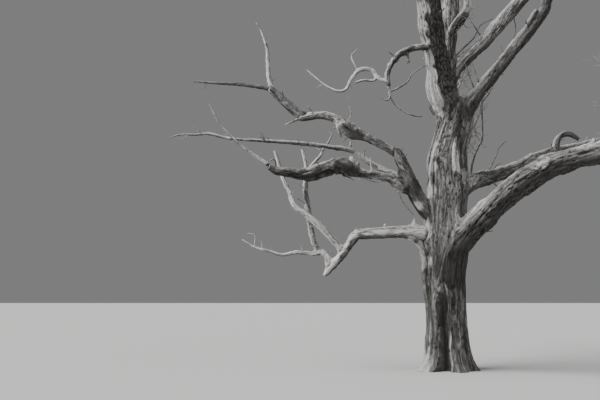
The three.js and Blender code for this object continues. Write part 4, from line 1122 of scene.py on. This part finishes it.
# How many shoots grow on each and in how many steps, their lengths and widths as shares of what carries
# them, the degrees that they spread and turn, how they wander and lift, and their thinnest widths
SHOOTS = {
    "on": [5, 1], "steps": 3, "stem_length": 1.25, "middle": 0.55, "first_at": 0.3, "last_at": 0.95,
    "length": 0.55, "shorter": 0.5, "width": 0.7, "thinner": 0.6, "spread": 48, "turn": 137.5,
    "level_turn": 52.5, "turn_range": 60, "wander": 0.55, "lift": 0.3, "gap": 0.025, "tilt": 0.2,
    "spread_least": 0.75, "spread_range": 0.5, "longest": 1.15, "length_least": 0.8, "length_range": 0.4,
    "foot": [0.014, 0.014], "tip": 0.009, "sides": 8,
}
FINE_SHOOTS = {
    "on": [6, 4, 3], "foot": [0.011, 0.006, 0.004], "tip": 0.0025, "first_at": 0.18, "sides": [5, 4, 3],
}


def seeded(seed):
    """Evenly spread numbers from 0 to 1, the same in every run."""
    while True:
        seed = seed * SEED_STEP % SEED_RANGE
        yield seed / SEED_RANGE


def shoot_points(start, heading, length, turn_up, draw):
    """One crooked shoot, which wanders and lifts from step to step."""
    points = [start]
    way = heading.copy()
    for _ in range(SHOOTS["steps"]):
        wander = Vector((next(draw) - 0.5, next(draw) - 0.5, next(draw) - 0.5))
        way = way + wander * SHOOTS["wander"]
        way.z += SHOOTS["lift"] * turn_up
        way.normalize()
        points.append(points[-1] + way * length / SHOOTS["steps"])
    return points


def fits(points, mass):
    """Whether a shoot stays in its mass's round space, in the tree's own box and off the limbs."""
    for point in points:
        inside = all(low <= at <= high for low, at, high in zip(cad_box[0], point, cad_box[1]))
        if not inside or (point - mass["middle"]).length >= mass["reach"]:
            return False
    apart = np.linalg.norm(np.array(points)[:, None] - mass["limbs"][None, :, :3], axis=-1)
    return bool(np.all(apart > mass["limbs"][:, 3] / 2 + SHOOTS["gap"]))


def grow_shoots(grown, parent, level, rule, mass, draw):
    """Adds a shoot's side shoots, each a shorter and thinner copy of it, at a steady turn round it."""
    if level >= len(rule["on"]):
        return
    first_at = rule["first_at"]
    for n in range(rule["on"][level]):
        along = first_at + (SHOOTS["last_at"] - first_at) * (n + next(draw)) / rule["on"][level]
        step = min(int(along * SHOOTS["steps"]), SHOOTS["steps"] - 1)
        before, after = parent["points"][step:step + 2]
        start = before.lerp(after, along * SHOOTS["steps"] - step)
        ahead = (after - before).normalized()
        side = Vector((ahead.y, -ahead.x, SHOOTS["tilt"])).cross(ahead).normalized()
        turn = SHOOTS["turn"] * n + SHOOTS["level_turn"] * level + SHOOTS["turn_range"] * next(draw)
        side.rotate(Quaternion(ahead, math.radians(turn)))
        opened = SHOOTS["spread_least"] + SHOOTS["spread_range"] * next(draw)
        spread = math.radians(SHOOTS["spread"] * opened)
        heading = ahead * math.cos(spread) + side * math.sin(spread)
        shorter = SHOOTS["longest"] - SHOOTS["shorter"] * along
        shorter = shorter * (SHOOTS["length_least"] + SHOOTS["length_range"] * next(draw))
        length = parent["length"] * SHOOTS["length"] * shorter
        width = parent["width"] * (1 - SHOOTS["thinner"] * along) * SHOOTS["width"]
        width = max(width, rule["foot"][level])
        points = shoot_points(start, heading, length, mass["turn_up"], draw)
        if fits(points, mass):
            shoot = {"points": points, "length": length, "width": width, "level": level + 1}
            grown.append(shoot)
            grow_shoots(grown, shoot, level + 1, rule, mass, draw)


def shoot_tubes(shoots, sides, tip):
    """Corners and faces of tapering tubes along many shoots with as many points each."""
    places = np.array([[tuple(point) for point in shoot["points"]] for shoot in shoots])
    count, rings = places.shape[:2]
    ahead = unit(np.gradient(places, axis=1))
    aside = np.where(np.abs(ahead[..., :1]) < 0.9, [1.0, 0, 0], [0, 1.0, 0])
    across = unit(np.cross(ahead, aside))
    up = np.cross(ahead, across)
    foot = np.array([shoot["width"] for shoot in shoots])[:, None]
    share = np.linspace(0, 1, rings)[None]
    half = (foot + (np.minimum(tip, foot) - foot) * share)[..., None, None] / 2
    angle = 2 * math.pi * np.arange(sides) / sides
    ring = across[..., None, :] * np.cos(angle)[:, None] + up[..., None, :] * np.sin(angle)[:, None]
    corners = (places[..., None, :] + half * ring).reshape(-1, 3)
    at = np.arange(len(corners)).reshape(count, rings, sides)
    beside = np.roll(at, -1, axis=2)
    quads = np.stack([at[:, :-1], beside[:, :-1], beside[:, 1:], at[:, 1:]], axis=-1).reshape(-1, 4)
    caps = [at[:, -1].tolist(), at[:, 0, ::-1].tolist()]
    return corners, quads.tolist() + caps[0] + caps[1]


limb_places = np.vstack([line[:-2] for line in lines.values()])
sprays = []
for name, carrier, seed, reach, turn_up in MASSES:
    draw = seeded(seed)
    end, before = (Vector(lines[carrier][i, :3]) for i in (-1, -2))
    heading = (end - before).normalized()
    mass = {"middle": end + heading * SHOOTS["middle"] * reach, "reach": reach, "turn_up": turn_up,
            "limbs": limb_places}
    length = SHOOTS["stem_length"] * reach
    points = shoot_points(end, heading, length, turn_up, draw)
    points[1] = end + heading * length / SHOOTS["steps"]
    stem = {"points": points, "length": length, "width": lines[carrier][-1, 3], "level": 0}
    coarse = [stem]
    grow_shoots(coarse, stem, 0, SHOOTS, mass, draw)
    points[0] = end - heading * STEM_SUNK
    fine = []
    draw = seeded(seed + FINE_SEED)
    for shoot in coarse:
        grow_shoots(fine, shoot, 0, FINE_SHOOTS, mass, draw)
    sprays.append((name, coarse, fine))

TWIG_TONES = [(0.2, 0.195, 0.185, 1), (0.26, 0.253, 0.243, 1), (0.15, 0.146, 0.14, 1)]
TWIG_ROUGHNESS = 0.85
TWIG_SPECULAR = 0.25
twig_finishes = []
for i, tone in enumerate(TWIG_TONES):
    material = bpy.data.materials.new(f"twig_bark_{i}")
    material.use_nodes = True
    shader = material.node_tree.nodes["Principled BSDF"]
    shader.inputs["Base Color"].default_value = tone
    shader.inputs["Roughness"].default_value = TWIG_ROUGHNESS
    shader.inputs["Specular IOR Level"].default_value = TWIG_SPECULAR
    twig_finishes.append(material)

# The sprays are dealt out to three pieces, each from one mass up to another
TWIG_PIECES = [("twigs_left", 0, 6), ("twigs_right", 6, 12), ("twigs_low", 12, 16)]
for piece_name, first, last in TWIG_PIECES:
    corners, faces, tones = [], [], []
    for number, (name, coarse, fine) in enumerate(sprays[first:last]):
        groups = [(coarse, SHOOTS["sides"], SHOOTS["tip"])]
        for order, sides in enumerate(FINE_SHOOTS["sides"], 1):
            shoots = [shoot for shoot in fine if shoot["level"] == order]
            groups.append((shoots, sides, FINE_SHOOTS["tip"]))
        for shoots, sides, tip in groups:
            if shoots:
                more, skin = shoot_tubes(shoots, sides, tip)
                base = sum(len(part) for part in corners)
                corners.append(more)
                faces += [[base + corner for corner in face] for face in skin]
                tones += [(first + number) % len(TWIG_TONES)] * len(skin)
    mesh = bpy.data.meshes.new(piece_name)
    mesh.from_pydata(np.vstack(corners).tolist(), [], faces)
    mesh.shade_smooth()
    for material in twig_finishes:
        mesh.materials.append(material)
    mesh.polygons.foreach_set("material_index", tones)
    twigs = bpy.data.objects.new(piece_name, mesh)
    bpy.context.scene.collection.objects.link(twigs)
    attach(twigs, "root")
    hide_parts(*[name for name, coarse, fine in sprays[first:last]])

# The stage
# A plain pale floor at ground level, a broad soft light from high on the left, a little in front of the
# tree, a weak one from the right and an even surround.
FLOOR_SIZE = 300
FLOOR_COLOUR = (0.45, 0.45, 0.445, 1)
FLOOR_ROUGHNESS = 0.9
SURROUND = (0.21, 0.21, 0.21, 1)
LIGHTS = {
    "light": {"from": (-0.66, -0.2, 0.72), "strength": 5.9, "spread": 45},
    "fill": {"from": (0.8, -0.55, 0.25), "strength": 1.0, "spread": 90},
}

bpy.ops.mesh.primitive_plane_add(size=FLOOR_SIZE)
floor = bpy.context.object
floor.name = "floor"
paint = bpy.data.materials.new("floor_paint")
paint.use_nodes = True
paint.node_tree.nodes["Principled BSDF"].inputs["Base Color"].default_value = FLOOR_COLOUR
paint.node_tree.nodes["Principled BSDF"].inputs["Roughness"].default_value = FLOOR_ROUGHNESS
floor.data.materials.append(paint)

surround = bpy.data.worlds.new("surround")
surround.use_nodes = True
surround.node_tree.nodes["Background"].inputs["Color"].default_value = SURROUND
bpy.context.scene.world = surround

for name, setting in LIGHTS.items():
    light = bpy.data.objects.new(name, bpy.data.lights.new(name, "SUN"))
    light.rotation_euler = Vector(setting["from"]).to_track_quat("Z", "Y").to_euler()
    light.data.energy = setting["strength"]
    light.data.angle = math.radians(setting["spread"])
    bpy.context.scene.collection.objects.link(light)
